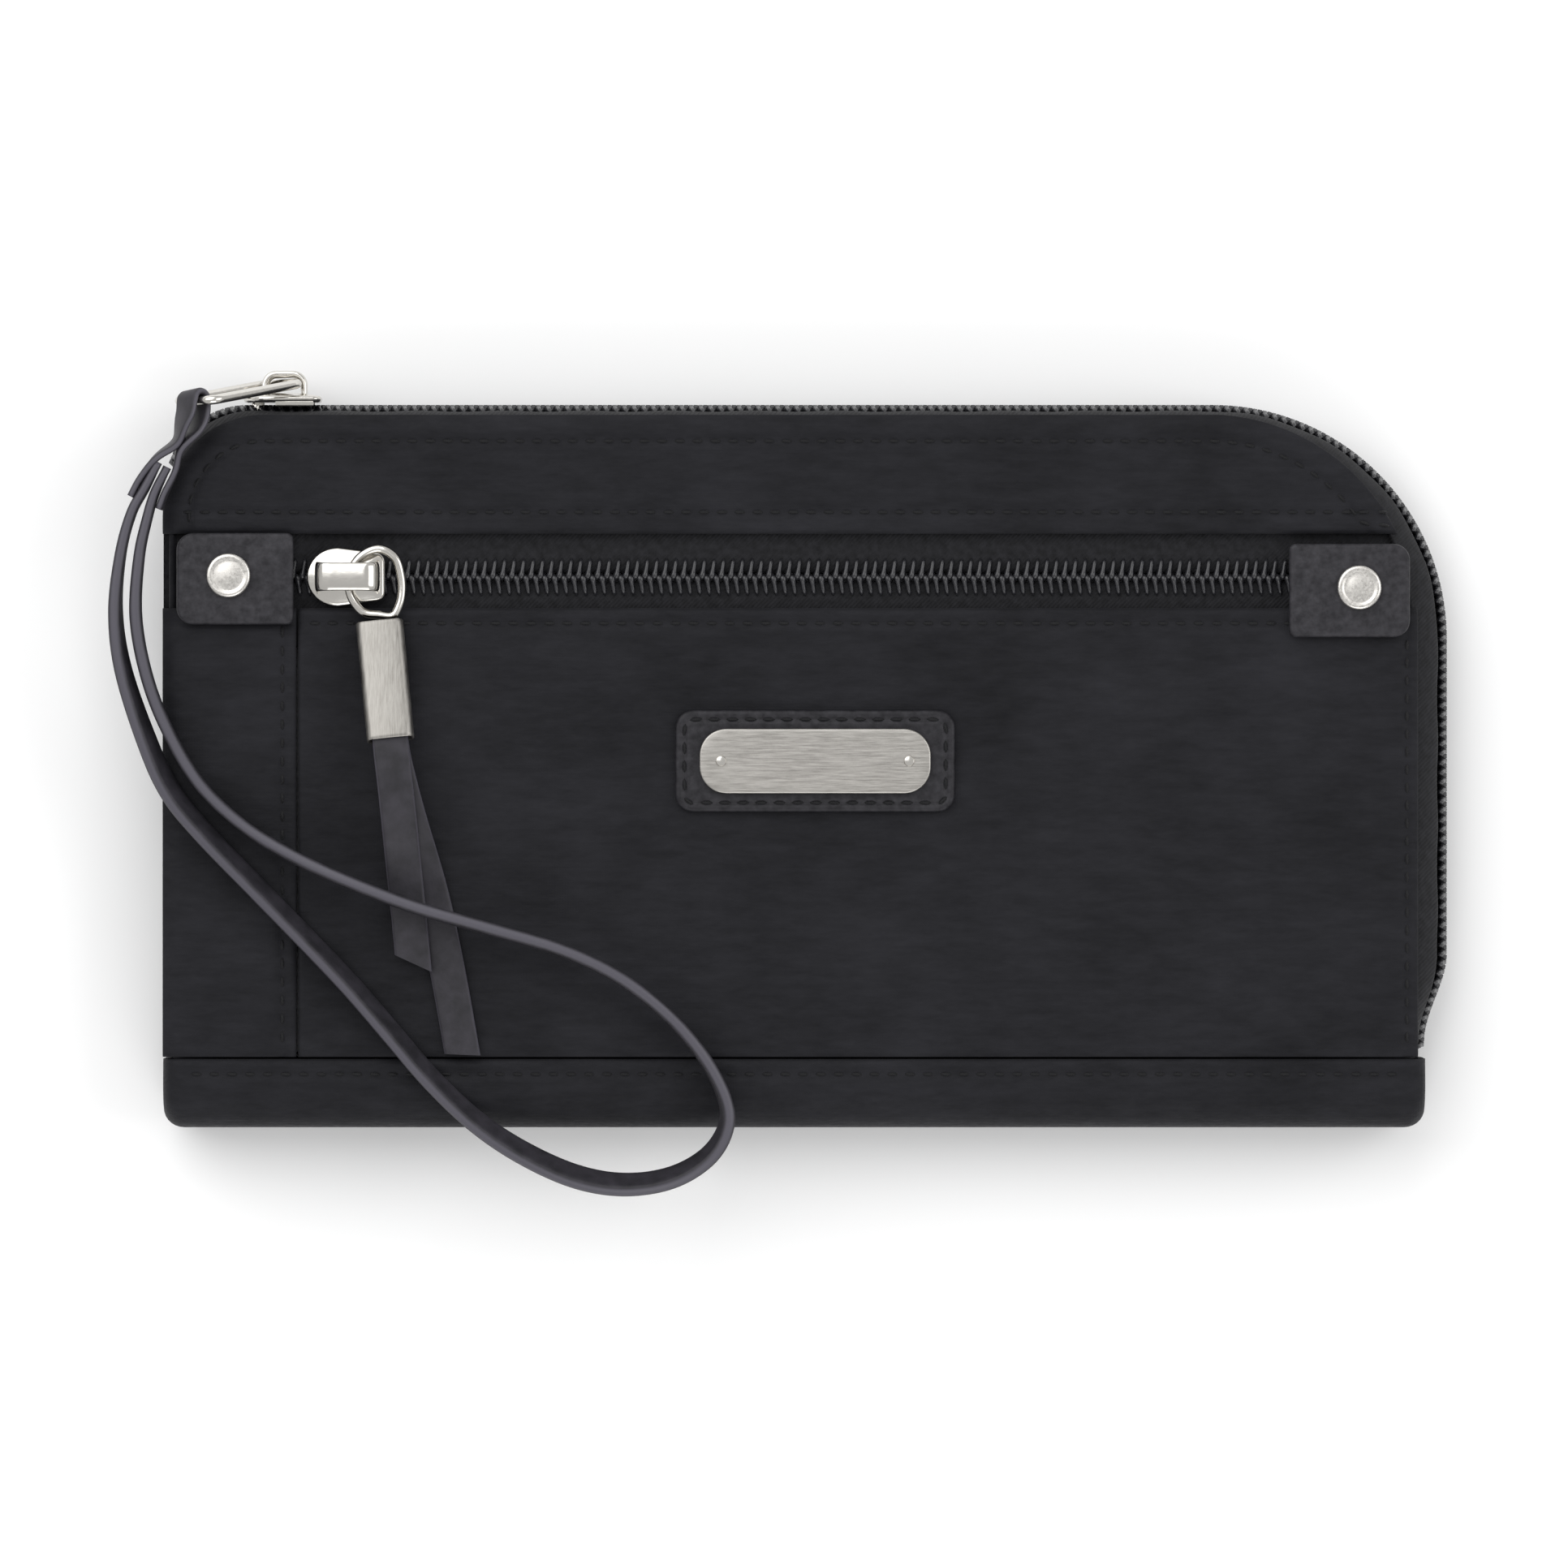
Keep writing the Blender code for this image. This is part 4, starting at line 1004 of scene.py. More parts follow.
rows = {
    "top_seam_stitches": inset_line(TOP_STITCH, SLOT_TOP + 1.2),
    "slot_seam_stitches": np.array([(LEFT + 2.5, SLOT_STITCH), (RIGHT - 4.4, SLOT_STITCH)]),
    "pocket_edge_stitches": np.array([(SEAM_X + 1.5, POCKET_STITCH), (RIGHT - 1.9, POCKET_STITCH)]),
    "side_seam_stitches": np.array([(SIDE_STITCH, POCKET_STITCH), (SIDE_STITCH, SEAM_Y + 2)]),
    "right_edge_stitches": np.array([(RIGHT_STITCH, POCKET_STITCH - 2), (RIGHT_STITCH, SEAM_Y + 2)]),
}
for name, line in rows.items():
    print(name, stitches(name, line, "front_cover", face_height))


def band_face(x, y):
    """Height of the band's front, just under its thread."""
    return DEPTH + 0.22 + ripple(x, y) - furrow(y - BAND_STITCH)


band_line = np.array([(BAND_LOW[0] + 4, BAND_STITCH), (BAND_HIGH[0] - 4, BAND_STITCH)])
print("band_stitches", stitches("band_stitches", band_line, "back_shell", band_face))

# %% [markdown]
# ## The left side
# The left side has no zipper. A gusset joins front and back there, folded inwards like a bellows so
# that the pouch can open. It is one sheet whose middle is pushed in.


# %% Gusset
GUSSET_FOLD, GUSSET_MARGIN, GUSSET_END_ANGLE = 6.0, 1.3, 157


def left_gusset():
    """A V in section: the plan line moved in by the fold, deepest half way up, flat near the zipper."""
    corner = arc((LEFT + CORNER_LEFT, TOP - CORNER_LEFT), CORNER_LEFT - 1, 180, GUSSET_END_ANGLE, 12)
    plan = even(np.vstack([[(LEFT + 1, SEAM_Y + 0.6)], corner]), 90)
    share = np.linspace(0, 1, 31)[:, None, None]
    fold = GUSSET_FOLD * (1 - np.sqrt((2 * share - 1) ** 2 * 0.96 + 0.04)) / 0.8
    along = np.linspace(0, 1, len(plan))[None, :, None]
    near_zip = np.clip((along - 0.82) / 0.18, 0, 1)
    fold = fold * (1 + 0.06 * np.sin(9 * along)) * (1 - 0.97 * near_zip**2 * (3 - 2 * near_zip))
    flat = plan + plan_normals(plan) * fold
    z = GUSSET_MARGIN + (DEPTH - 2 * GUSSET_MARGIN) * share + 0 * flat[..., :1]
    thing = sheet("left_side", np.concatenate([flat, z], -1)[:, ::-1], NYLON, 0.6)
    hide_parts("left_gusset")
    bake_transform(thing)


left_gusset()
print("left side")

# %% [markdown]
# ## Leather tabs, the patch and the plate
# These are flat pieces with a rounded rim. One function makes them all: an outline is repeated in
# rings, first under the piece, then up its side, over the rounded rim and in to the middle of its top,
# where it may be crowned.


# %% Rounded slab
def inset_outline(outline, inset):
    """A closed counter-clockwise outline moved inwards."""
    step = np.roll(outline, -1, 0) - np.roll(outline, 1, 0)
    step /= np.linalg.norm(step, axis=1)[:, None]
    return outline + inset * np.column_stack([-step[:, 1], step[:, 0]])


def slab_grid(outline, low, high, rim=0.4, crown=0.0, count=160):
    """Rings from under the middle, round a rim that is a quarter circle in section, to the crowned top."""
    outline = even(outline, count, closed=True)
    inner, centre = inset_outline(outline, rim), outline.mean(0)
    rings = [(rim * (1 - math.sin(a)), low + rim * (1 - math.cos(a))) for a in np.radians([0, 45])]
    rings += [(0.0, low + rim)]
    over = np.radians([0, 22, 45, 68, 90])
    rings += [(rim * (1 - math.cos(a)), high - rim * (1 - math.sin(a))) for a in over]
    layers = [(centre + (inner - centre) * share, low) for share in (0.25, 0.6)]
    layers += [(inset_outline(outline, inset), z) for inset, z in rings]
    for share in (0.93, 0.85, 0.7, 0.5, 0.28, 0.1):
        layers.append((centre + (inner - centre) * share, high + crown * (1 - share**2)))
    return np.array([np.column_stack([plan, np.full(count, z)]) for plan, z in layers])


def slab(name, outline, low, high, finish, rim=0.4, crown=0.0):
    """The rings closed into one piece."""
    return shell(name, slab_grid(outline, low, high, rim, crown), finish)


print("rings, points and axes:", slab_grid(rounded_rectangle(0, 0, 10, 10, (1,) * 4), 0, 1).shape)

# %% [markdown]
# ## Tabs and patch
# A leather tab covers each end of the pocket zipper, with its outer corners cut round. The patch under
# the plate is sewn on, and its stitches sink into it, so its rings lie closer where the furrow runs. A
# bump would do for the furrow, but a real dip catches the light from the side as well.


# %% Tabs and patch
def tab(side, radii):
    """A slab as large as the frame's tab, hardly crowned, with a radius for each corner."""
    low, high = box_mm(f"{side}_tab")
    outline = rounded_rectangle(low[0], low[1], high[0], high[1], radii)
    thing = slab(f"{side}_leather_tab", outline, low[2], high[2], LEATHER, 0.6, 0.12)
    fit(thing, f"{side}_tab", "front_cover")


tab("left", (2.6, 1.0, 1.0, 2.6))
tab("right", (1.0, 2.6, 2.6, 1.0))


PATCH_RADIUS, PATCH_SEAM, PATCH_FLAT = 2.8, 1.45, 2.5


def patch():
    """Rings by their distance from the rim. The seam's furrow is taken off the height of those on top."""
    low, high = box_mm("name_patch")
    outline = rounded_rectangle(low[0], low[1], high[0], high[1], (PATCH_RADIUS,) * 4)
    outline = even(outline, 220, closed=True)
    insets = np.r_[0.5, 0.15, 0.0, 0.0, 0.1, 0.3, 0.6, np.linspace(0.9, 2.6, 9), 3.4, 5.0, 7.0]
    heights = np.r_[low[2] + [0.0, 0.1, 0.4], high[2] - [0.5, 0.2, 0.05], np.full(13, high[2])]
    heights[6:] -= furrow(insets[6:] - PATCH_SEAM, 0.3, 0.35)
    plans = [inset_outline(outline, min(inset, PATCH_FLAT)) for inset in insets[:-3]]
    centre = outline.mean(0)
    plans += [centre + (inset_outline(outline, PATCH_FLAT) - centre) * share for share in (0.9, 0.6, 0.25)]
    layers = [np.column_stack([plan, np.full(len(plan), z)]) for plan, z in zip(plans, heights)]
    thing = shell("leather_patch", np.array(layers), PATCH_LEATHER)
    fit(thing, "name_patch", "front_cover")
    seam = inset_outline(outline, PATCH_SEAM)
    seam = np.column_stack([seam, np.full(len(seam), high[2] - 0.2)])
    return stitches("patch_stitches", np.vstack([seam, seam[:1]]), "front_cover")


print("patch stitches:", patch())

# %% [markdown]
# ## Plate, pins and rivets
# The plate is stamped sheet with a softened rim, held by two tiny pins. The rivets are caps pressed on
# a shank: their face is slightly dished inside a raised rim, which is what makes the ring of light on
# them. Everything round is a profile turned about an upright line, like work on a lathe.


# %% Plate, pins and rivets
def turned(name, centre, profile, finish, body, node_name, sides=48):
    """A profile of (radius, height) pairs turned about an upright line."""
    profile = np.array(profile)
    angle = np.linspace(0, 2 * np.pi, sides, endpoint=False)
    x = centre[0] + profile[:, :1] * np.cos(angle)
    y = centre[1] + profile[:, :1] * np.sin(angle)
    thing = shell(name, np.stack([x, y, profile[:, 1:] + 0 * x], -1), finish, sharp=40)
    fit(thing, node_name, body)
    return thing


def nameplate():
    """A slab with nearly half-round ends, and two pins that stand just proud of it."""
    low, high = box_mm("nameplate")
    outline = rounded_rectangle(low[0], low[1], high[0], high[1], (4.2,) * 4, 14)
    thing = slab("blank_plate", outline, low[2], high[2], PLATE_NICKEL, 0.28)
    thing.data.set_sharp_from_angle(angle=math.radians(50))
    fit(thing, "nameplate", "front_cover")
    for side in ("left", "right"):
        node_name = f"nameplate_pin_{side}"
        pin_low, pin_high = box_mm(node_name)
        centre = (pin_low + pin_high) / 2
        head = [(0.7, 0.02), (0.85, 0.05), (0.75, 0.22), (0.4, 0.3)]
        profile = [(0.7, pin_low[2])] + [(radius, high[2] + rise) for radius, rise in head]
        turned(f"plate_pin_{side}", centre, profile, NICKEL, "front_cover", node_name, 24)


def rivet(side):
    """A shank, then a cap: a short wall, a rounded shoulder, and a dished face inside a raised rim."""
    low, high = box_mm(f"{side}_rivet")
    centre, radius = (low + high) / 2, (high[0] - low[0]) / 2
    cap = box_mm(f"{side}_tab")[1][2] + 0.15
    profile = [(1.2, low[2]), (1.2, cap), (radius - 0.2, cap), (radius, cap + 0.2), (radius, cap + 0.5)]
    for a in np.radians([20, 40, 60, 80]):
        profile.append((radius - 0.5 * (1 - math.cos(a)), cap + 0.5 + 0.5 * math.sin(a)))
    profile += [(radius - 0.75, cap + 0.98), (radius - 1.0, cap + 0.88)]
    profile += [(r, cap + 0.84 + 0.2 * (1 - (r / 2.4) ** 2)) for r in (2.3, 1.8, 1.2, 0.6, 0.2)]
    thing = turned(f"{side}_cap_rivet", centre, profile, SATIN_NICKEL, "front_cover", f"{side}_rivet", 64)
    thing.data.set_sharp_from_angle(angle=math.radians(60))


nameplate()
rivet("left")
rivet("right")
print("plate, pins and rivets")

# %% [markdown]
# ## The sliders
# A slider is cast metal: two drop-shaped plates joined by a post at the nose, with lips along both
# sides that close round the tapes, and an arched crown on top that holds the pull. Both sliders are the
# same size, so one function makes them in their own place, and a matrix of three directions puts each
# where it goes.


# %% Slider parts
def tube(name, path, radius, finish, sides=14, upright=(0.0, 0.0, 1.0), closed=True):
    """A round section carried along a path: centre plus radius times the turning of left and up."""
    _, left, up = frames(path, upright, closed)
    angle = np.linspace(0, 2 * np.pi, sides, endpoint=False)[None, :, None]
    grid = path[:, None, :] + radius * (np.cos(angle) * left[:, None, :] + np.sin(angle) * up[:, None, :])
    return shell(name, grid, finish, poles=not closed)


def drop_outline(half_length, half_width, tail_width, count=20):
    """A slider's plan: half an ellipse for the nose at -x, then sides that narrow to a rounded tail."""
    widest, radius = -1.2, 1.5
    nose = arc((0, 0), 1.0, 90, 270, count) * [half_length + widest, half_width] + [(widest, 0)]
    lower = arc((half_length - radius, radius - tail_width), radius, 285, 360, 8)
    upper = arc((half_length - radius, tail_width - radius), radius, 0, 75, 8)
    return np.vstack([nose, lower, upper])


SLIDER_HALF_LENGTH, SLIDER_HALF_WIDTH, SLIDER_TAIL = 6.2, 4.65, 3.9
PLATE_INNER, PLATE_OUTER = 1.3, 2.35


def slider_body(name):
    """Two domed plates, the post and four lips, in the slider's own place."""
    plan = drop_outline(SLIDER_HALF_LENGTH, SLIDER_HALF_WIDTH, SLIDER_TAIL)
    top = slab_grid(plan, PLATE_INNER, PLATE_OUTER, 0.5, 0.6)
    bottom = top * [1, 1, -1]
    lip_parts = []
    for side in (1, -1):
        rail = np.column_stack([np.linspace(-1.0, 5.0, 24), side * np.linspace(4.1, 3.45, 24)])
        ring = np.vstack([rail - [0, 0.4], (rail + [0, 0.4])[::-1]])
        lip_parts.append(slab_grid(ring, 0.65, 1.5, 0.15, 0, 80))
        lip_parts.append(slab_grid(ring, -1.5, -0.65, 0.15, 0, 80))
    post = slab_grid(arc((-3.9, 0), 1.0, 0, 360, 40)[:-1] * [1, 0.3], -1.4, 1.4, 0.1, 0, 40)
    parts = [shell(f"{name}_{k}", g, NICKEL) for k, g in enumerate([top, bottom, post, *lip_parts])]
    return join(name, parts)


def slider_crown(name, half_span, half_width, dome):
    """A strap of metal over an arch: its section is a flat oval with a dome on it, wider at the feet."""
    radius, spring, foot = 1.9, 4.05, 2.3
    rise = arc((radius - half_span, spring), radius, 180, 90, 12)
    fall = arc((half_span - radius, spring), radius, 90, 0, 12)
    arch = even(np.vstack([[(-half_span, foot)], rise, fall, [(half_span, foot)]]), 48)
    path = np.column_stack([arch[:, 0] + 0.3, np.zeros(48), arch[:, 1]])
    forward = frames(path, (0.0, 1.0, 0.0))[0]
    outward = np.cross([0.0, 1.0, 0.0], forward)
    share = np.linspace(-1, 1, 48)[:, None, None]
    width = half_width * (1 + 0.25 * share**4)
    angle = np.linspace(0, 2 * np.pi, 20, endpoint=False)[None, :, None]
    c, s = np.cos(angle), np.sin(angle)
    side = np.sign(c) * np.abs(c) ** 0.6 * width
    thick = 0.45 * np.sign(s) * np.abs(s) ** 0.8
    hump = dome * np.sqrt(np.clip(1 - (side / width) ** 2, 0, 1))
    thick = thick + np.where(s > 0, hump, 0) * (1 - share**6)
    grid = path[:, None, :] + side * np.array([0.0, 1.0, 0.0]) + thick * outward[:, None, :]
    return shell(name, grid, NICKEL)


def put(thing, centre, axes):
    """Moves a piece's own points: x, y, z become steps along three directions from a centre."""
    data = thing.data
    place = np.empty(len(data.vertices) * 3, np.float32)
    data.vertices.foreach_get("co", place)
    moved = place.reshape(-1, 3) @ np.array(axes) + np.array(centre) * MM
    data.vertices.foreach_set("co", moved.astype(np.float32).ravel())
    data.update()


def slider(word, centre, axes, half_span, half_width, dome):
    """A body and its crown, both put where the frame has that slider."""
    body = slider_body(f"{word}_zip_slider")
    crown = slider_crown(f"{word}_zip_crown", half_span, half_width, dome)
    for thing, node_name in ((body, f"{word}_slider_body"), (crown, f"{word}_slider_crown")):
        put(thing, centre, axes)
        fit(thing, node_name, f"{word}_slider")


def node_centre(node_name):
    low, high = box_mm(node_name)
    return (low + high) / 2


slider("pocket", node_centre("pocket_slider_body"), [(1, 0, 0), (0, 1, 0), (0, 0, 1)], 4.7, 2.2, 1.3)
slider("main", node_centre("main_slider_body"), [(1, 0, 0), (0, 0, -1), (0, 1, 0)], 3.2, 1.2, 0.35)
print("two sliders")

# %% [markdown]
# ## The strap's ring
# The strap hangs on a rectangle of bent wire. The frame's joints say where its two short bars lie, so
# the ring is a round section carried round a rounded rectangle between those two axes.

# %% The main slider's ring
joints = {joint["name"]: joint for joint in frame["joints"]}
EYE = np.array(joints["main_ring_swing"]["pos_m"]) / MM
FAR_BAR = np.array(joints["strap_swing"]["pos_m"]) / MM
ACROSS = -np.array(joints["main_ring_swing"]["axis"])
ACROSS /= np.linalg.norm(ACROSS)
ring_reach = np.linalg.norm(FAR_BAR - EYE)
ALONG = (FAR_BAR - EYE) / ring_reach


RING_HALF_WIDTH, RING_CORNER, RING_WIRE = 4.3, 1.5, 0.75


def main_ring():
    """The rectangle's x runs along the ring and its y across it, both leaning as the joint's axes do."""
    outline = rounded_rectangle(0, -RING_HALF_WIDTH, ring_reach, RING_HALF_WIDTH, (RING_CORNER,) * 4, 12)
    outline = even(outline, 110, closed=True)
    path = EYE + outline[:, :1] * ALONG + outline[:, 1:] * ACROSS
    thing = tube("strap_ring", path, RING_WIRE, NICKEL, upright=np.cross(ALONG, ACROSS))
    fit(thing, "main_ring", "main_ring")


main_ring()
print("ring reaches", round(ring_reach, 1), "mm")

# %% [markdown]
# ## The pull's ring
# The pocket slider's ring is pear shaped: round where it hangs in the crown, and flattened at the
# bottom into a short bar that the ferrule turns on. No simple formula has that outline, so a smooth
# closed curve goes through a dozen points of the wire.

# %% The pocket slider's ring
PULL_WIRE = 0.68


def pocket_ring():
    """A round section along the closed curve through the bend's points, all at one height."""
    bend = [(-71.95, 26.6), (-72.2, 29.4), (-70.6, 32.3), (-67.6, 33.8), (-64.9, 32.4), (-63.9, 29.2),
            (-63.9, 26.2), (-64.7, 23.9), (-65.6, 23.2), (-67.45, 23.4), (-69.3, 23.6), (-70.6, 24.4)]
    z = node_centre("pocket_ring")[2]
    path = curve([(x, y, z) for x, y in bend], 110, closed=True)
    thing = tube("pull_ring", path, PULL_WIRE, NICKEL)
    fit(thing, "pocket_ring", "pocket_ring")


pocket_ring()
print("pull ring")

# %% [markdown]
# ## The tassel
# The pull is a flat tube of brushed metal crimped on two leather laces. The tube is one closed surface:
# down the outside, round the rim, up the inside and round the other rim.


# %% Ferrule
FERRULE_START, FERRULE_END, FERRULE_WALL = 1.2, 20.2, 0.4
FERRULE_HALF_WIDTH, FERRULE_HALF_HEIGHT, FERRULE_RADIUS = 3.7, 1.75, 1.1
TASSEL_TURN, TASSEL_TILT = math.radians(5.8), math.radians(12.0)


def ferrule():
    """Rings of a rounded rectangle down the outer wall, over a lip, up the inner wall and over a lip."""
    low, high = box_mm("ferrule")
    bar = np.array(joints["tassel_lift"]["pos_m"]) / MM
    side = np.array([math.cos(TASSEL_TURN), math.sin(TASSEL_TURN), 0.0])
    level = np.array([math.sin(TASSEL_TURN), -math.cos(TASSEL_TURN), 0.0])
    down = math.cos(TASSEL_TILT) * level + [0.0, 0.0, math.sin(TASSEL_TILT)]
    across = np.array([side, np.cross(side, -down)])
    start, end, wall = FERRULE_START, FERRULE_END, FERRULE_WALL
    steps = [(0.12, start), (0.0, start + 0.15)]
    steps += [(0.0, s) for s in np.linspace(start + 0.6, end - 0.6, 8)]
    steps += [(0.0, end - 0.15), (0.12, end), (wall - 0.1, end), (wall, end - 0.15)]
    steps += [(wall, s) for s in np.linspace(end - 1, start + 1, 4)]
    steps += [(wall, start + 0.15), (wall - 0.1, start)]
    wide, deep = FERRULE_HALF_WIDTH, FERRULE_HALF_HEIGHT
    outline = rounded_rectangle(-wide, -deep, wide, deep, (FERRULE_RADIUS,) * 4, 8)
    outline = even(outline, 96, closed=True)
    outline[:, 1] += np.sign(outline[:, 1]) * 0.25 * (1 - (outline[:, 0] / wide) ** 2)
    rings = [bar + along * down + inset_outline(outline, inset) @ across for inset, along in steps]
    thing = shell("pull_ferrule", np.array(rings), FERRULE_NICKEL, poles=False, sharp=50)
    fit(thing, "ferrule", "tassel")
    return high[1] - low[1]


print("ferrule", round(ferrule(), 1), "mm long in plan")

# %% [markdown]
# ## The laces
# Two flat strips come out of the ferrule one over the other, bridge down to the cloth and spread. Cloth
# simulation would let them fall, but such leather is stiff enough to keep the bend it left the crimp
# with. So each is a flat section carried along a smooth curve, turned a little as it goes, with its end
# cut on a slant.


# %% Ribbons of leather
def ribbon_grid(path, lean, width, thickness):
    """A flat section with rounded edges along a path, leaning from upright to the left by lean degrees."""
    _, left, up = frames(path)
    lean = np.radians(np.broadcast_to(lean, len(path)))[:, None]
    across = np.cos(lean) * up + np.sin(lean) * left
    through = np.cos(lean) * left - np.sin(lean) * up
    half, edge = width / 2, 0.5
    bow = np.radians([-90, -60, -30, 0, 30, 60, 90])
    right_edge = np.column_stack([half - edge + edge * np.cos(bow), np.sin(bow)])
    face = np.column_stack([np.linspace(half - edge, -half + edge, 7)[1:-1], np.ones(5)])
    section = np.vstack([right_edge, face, -right_edge, -face])
    deep = np.broadcast_to(thickness, len(path))[:, None, None] / 2 * section[None, :, 1:]
    grid = path[:, None, :] + section[None, :, :1] * across[:, None, :] + deep * through[:, None, :]
    along = np.r_[0, np.cumsum(np.linalg.norm(np.diff(path, axis=0), axis=1))]
    uv = np.stack(np.broadcast_arrays(along[:, None], section[None, :, 0] / half), -1)
    return grid, uv


LACE_WIDTH, LACE_THICKNESS = 5.6, 1.15
LACE_BACK = [(-67.15, 20.5, 21.87), (-66.2, 11.2, 23.84), (-65.3, 2.4, 25.4), (-64.0, -3.5, 25.5),
             (-62.4, -9.5, 24.2), (-60.8, -15.0, 22.4), (-59.4, -20.0, 21.3), (-58.0, -26.0, 20.95),
             (-56.2, -35.0, 20.9), (-54.3, -45.8, 20.9)]
LACE_FRONT = [(-67.15, 20.8, 23.34), (-66.2, 11.5, 25.31), (-65.4, 2.6, 26.95), (-64.7, -3.5, 27.1),
              (-64.1, -9.5, 25.8), (-63.6, -15.0, 23.95), (-63.1, -20.0, 22.85), (-62.6, -25.0, 22.45),
              (-62.0, -31.4, 22.4)]


def lace(name, node_name, route, cut):
    """A lace with a slight twist and a slanted cut end: the last rings are sheared along the path."""
    path = curve(route, 90)
    share = np.linspace(0, 1, len(path))
    grid, uv = ribbon_grid(path, 90 + 5 * np.sin(5 * share) * share, LACE_WIDTH, LACE_THICKNESS)
    forward = path[-1] - path[-2]
    forward /= np.linalg.norm(forward)
    tail = np.clip((share - 0.85) / 0.15, 0, 1)[:, None, None]
    grid = grid + tail * cut * uv[..., 1:] * forward
    thing = shell(name, grid, STRAP_LEATHER, uv=uv)
    thing.data.set_sharp_from_angle(angle=math.radians(60))
    fit(thing, node_name, "tassel")
    return length(path)


print("laces", round(lace("tassel_lace_back", "lace_back", LACE_BACK, 0.6), 1),
      round(lace("tassel_lace_front", "lace_front", LACE_FRONT, 1.6), 1), "mm long")

# %% [markdown]
# ## The wrist strap
# One flat leather strip, doubled. Both ends are sewn into the tab on the ring, the two legs run side by
# side down the pouch's left edge and part into a loop. It mostly stands on its edge, as a stiff narrow
# strap does, and leans over where it crosses the front. Its route is the list that the design uses,
# read through the same smooth curve.

# %% Strap
STRAP_ROUTE = [
    (-102.1, 47.4, 22.95, 4), (-104.2, 43.3, 22.9, 0), (-106.3, 39.4, 22.9, 0),
    (-108.0, 33.0, 22.9, 0), (-108.8, 24.0, 22.9, -5), (-107.6, 14.8, 22.9, -14),
    (-103.9, 3.6, 22.8, -24), (-100.2, -4.4, 22.8, -28), (-94.8, -11.1, 22.8, -28),
    (-87.0, -19.2, 22.8, -28), (-79.0, -27.4, 22.8, -28), (-71.8, -35.0, 22.8, -28),
    (-65.5, -42.3, 22.8, -28), (-59.2, -49.6, 22.8, -28), (-52.0, -56.4, 22.8, -30),
    (-44.4, -61.4, 22.7, -34), (-36.2, -65.0, 22.6, -36), (-28.5, -66.2, 22.6, -34),
    (-21.1, -65.0, 22.7, -30), (-15.4, -61.5, 22.8, -22), (-12.7, -56.6, 22.9, -12),
    (-13.4, -51.6, 23.3, -6), (-17.0, -45.2, 24.3, -4), (-22.6, -39.0, 24.9, -4),
    (-30.0, -33.4, 25.8, -4), (-39.0, -29.2, 26.0, -4), (-50.9, -25.7, 26.0, -4),
    (-61.6, -22.6, 26.0, -4), (-71.2, -19.0, 25.6, -4), (-80.1, -15.0, 24.4, -4),
    (-88.4, -10.0, 23.3, -2), (-95.4, -3.4, 22.9, 0), (-100.4, 4.8, 22.9, 0),
    (-103.8, 13.4, 22.9, 0), (-105.6, 23.0, 22.9, 0), (-105.1, 32.4, 22.9, 0),
    (-103.8, 38.6, 22.9, 0), (-102.6, 42.6, 22.9, 0), (-100.7, 46.6, 22.85, -4),
]
STRAP_WIDTH, STRAP_THICKNESS, PARED_END, PARED_LENGTH = 4.6, 1.9, 1.3, 24.0


def wrist_strap():
    """A ribbon along the route, pared thinner towards both ends, so that the tab closes over them."""
    route = curve(STRAP_ROUTE, 420)
    path = route[:, :3]
    along = np.linspace(0, length(path), len(path))
    full = np.clip(np.minimum(along, along[-1] - along) / PARED_LENGTH, 0, 1)
    thickness = PARED_END + (STRAP_THICKNESS - PARED_END) * full
    grid, uv = ribbon_grid(path, route[:, 3], STRAP_WIDTH, thickness)
    thing = shell("strap", grid, STRAP_LEATHER, uv=uv)
    fit(thing, "wrist_strap", "wrist_strap")
    real = length(path) * MM
    return real


print("strap", round(wrist_strap(), 3), "m long")

# %% [markdown]
# ## The strap's tab
# A short strip of the same leather is folded round the ring's far bar, and the strap's two ends are
# glued and sewn between its legs. It follows the bar's direction at the fold and stands upright like
# the strap at its ends, so its section is turned step by step along the way.

# %% The tab that holds the strap
BEND_RADIUS, TAB_LEG, TAB_HALF_THICKNESS = 1.32, 17.0, 0.52


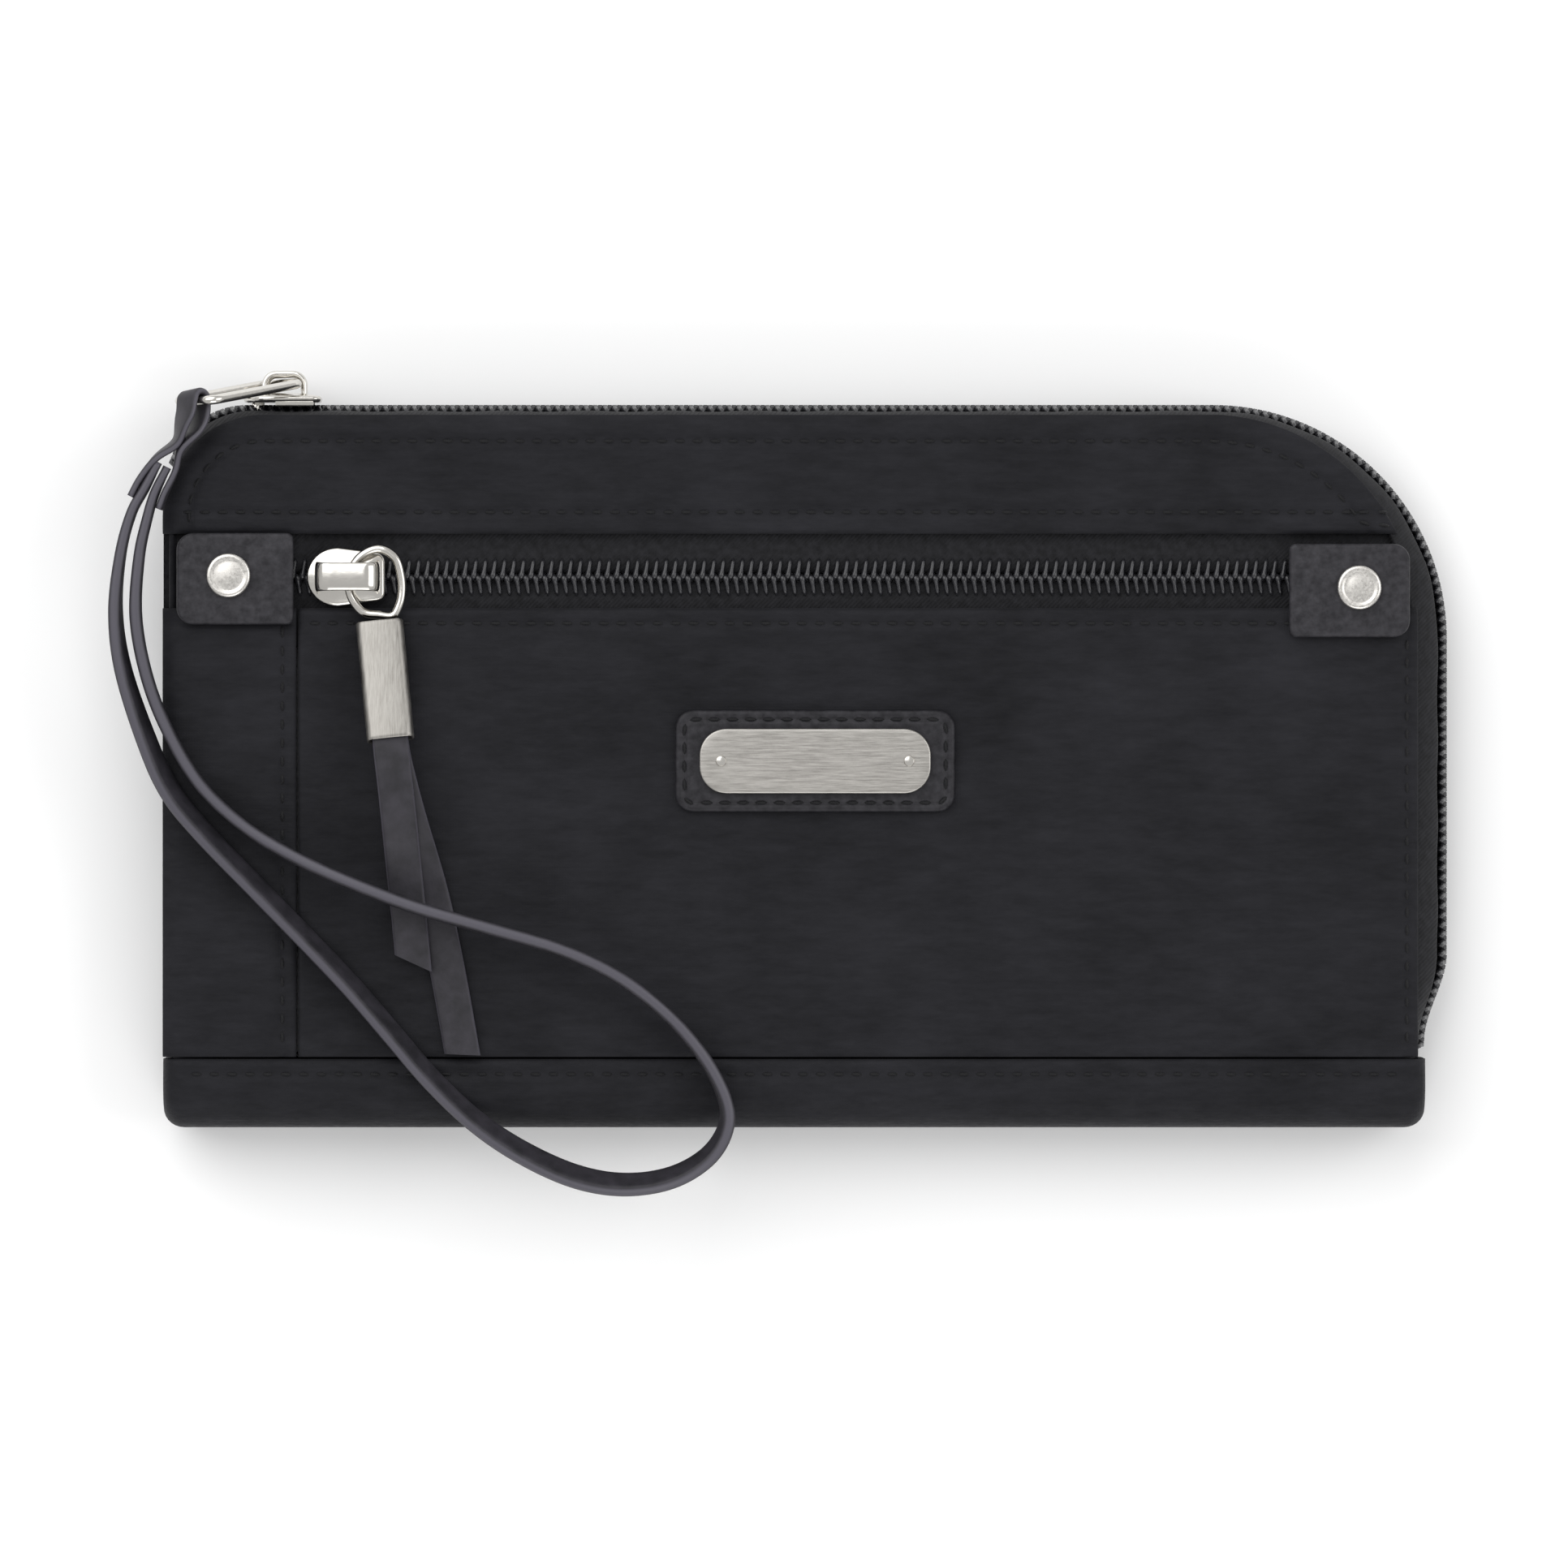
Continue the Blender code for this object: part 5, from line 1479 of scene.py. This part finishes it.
def strap_tab():
    """A strip out along one side of the strap, in a half circle round the ring's bar, and back.

    Between the bar and the strap's ends a bell curve draws its legs together, and past that they spread.
    """
    middle = curve([(*FAR_BAR, 44), (-96.7, 54.6, 23.5, 36), (-98.1, 51.4, 23.6, 18),
                    (-100.4, 47.9, 23.2, 6), (-102.9, 43.8, 22.9, 0), (-104.2, 41.0, 22.9, 0)], 40)
    line, lean = middle[:, :3], np.radians(middle[:, 3])[:, None]
    _, left, up = frames(line)
    through = np.cos(lean) * left - np.sin(lean) * up
    reach = np.linspace(0, TAB_LEG, len(line))[:, None]
    apart = BEND_RADIUS + 0.065 * reach - 1.25 * np.exp(-((reach - 7) / 2.6) ** 2)
    turn = np.radians(np.linspace(8, 172, 16))[:, None]
    behind = (line[0] - line[1]) / np.linalg.norm(line[0] - line[1])
    fold = line[0] + BEND_RADIUS * (-np.cos(turn) * through[0] + np.sin(turn) * behind)
    path = np.vstack([(line - through * apart)[::-1], fold, line + through * apart])
    across = np.cos(lean) * up + np.sin(lean) * left
    across = np.vstack([across[::-1], np.repeat(across[:1], len(fold), 0), across])
    forward = np.gradient(path, axis=0)
    side = np.cross(forward, across)
    side /= np.linalg.norm(side, axis=1)[:, None]
    half, edge = STRAP_WIDTH / 2, TAB_HALF_THICKNESS
    bow = np.radians([-90, -45, 0, 45, 90])
    rim = np.column_stack([half - edge + edge * np.cos(bow), edge * np.sin(bow)])
    section = np.vstack([rim, -rim])
    grid = path[:, None, :] + section[None, :, :1] * across[:, None, :]
    grid = grid + section[None, :, 1:] * side[:, None, :]
    along = np.r_[0, np.cumsum(np.linalg.norm(np.diff(path, axis=0), axis=1))]
    uv = np.stack(np.broadcast_arrays(along[:, None], section[None, :, 0] / half), -1)
    thing = shell("strap_fold", grid, STRAP_LEATHER, uv=uv)
    fit(thing, "strap_tab", "wrist_strap")


strap_tab()
print("strap tab")

# %% [markdown]
# ## Inside
# The lining, the padding and the card slots show when the cover lifts. Their shapes in the frame are
# right, so they stay, and get the finish of the real cloth.

# %% Finish the frame's own nodes
INSIDE = {
    "back_lining": LINING, "front_lining": LINING, "pocket_bag": LINING, "back_padding": TAPE,
    "zip_end_tab": NYLON, "left_rivet_washer": SATIN_NICKEL, "right_rivet_washer": SATIN_NICKEL,
}
INSIDE.update({name: LINING for name in frame["nodes"] if name.startswith("card_slot")})
for name, finish in INSIDE.items():
    for place in frame["nodes"][name].material_slots:
        place.material = finish
print("dressed inside:", ", ".join(INSIDE))
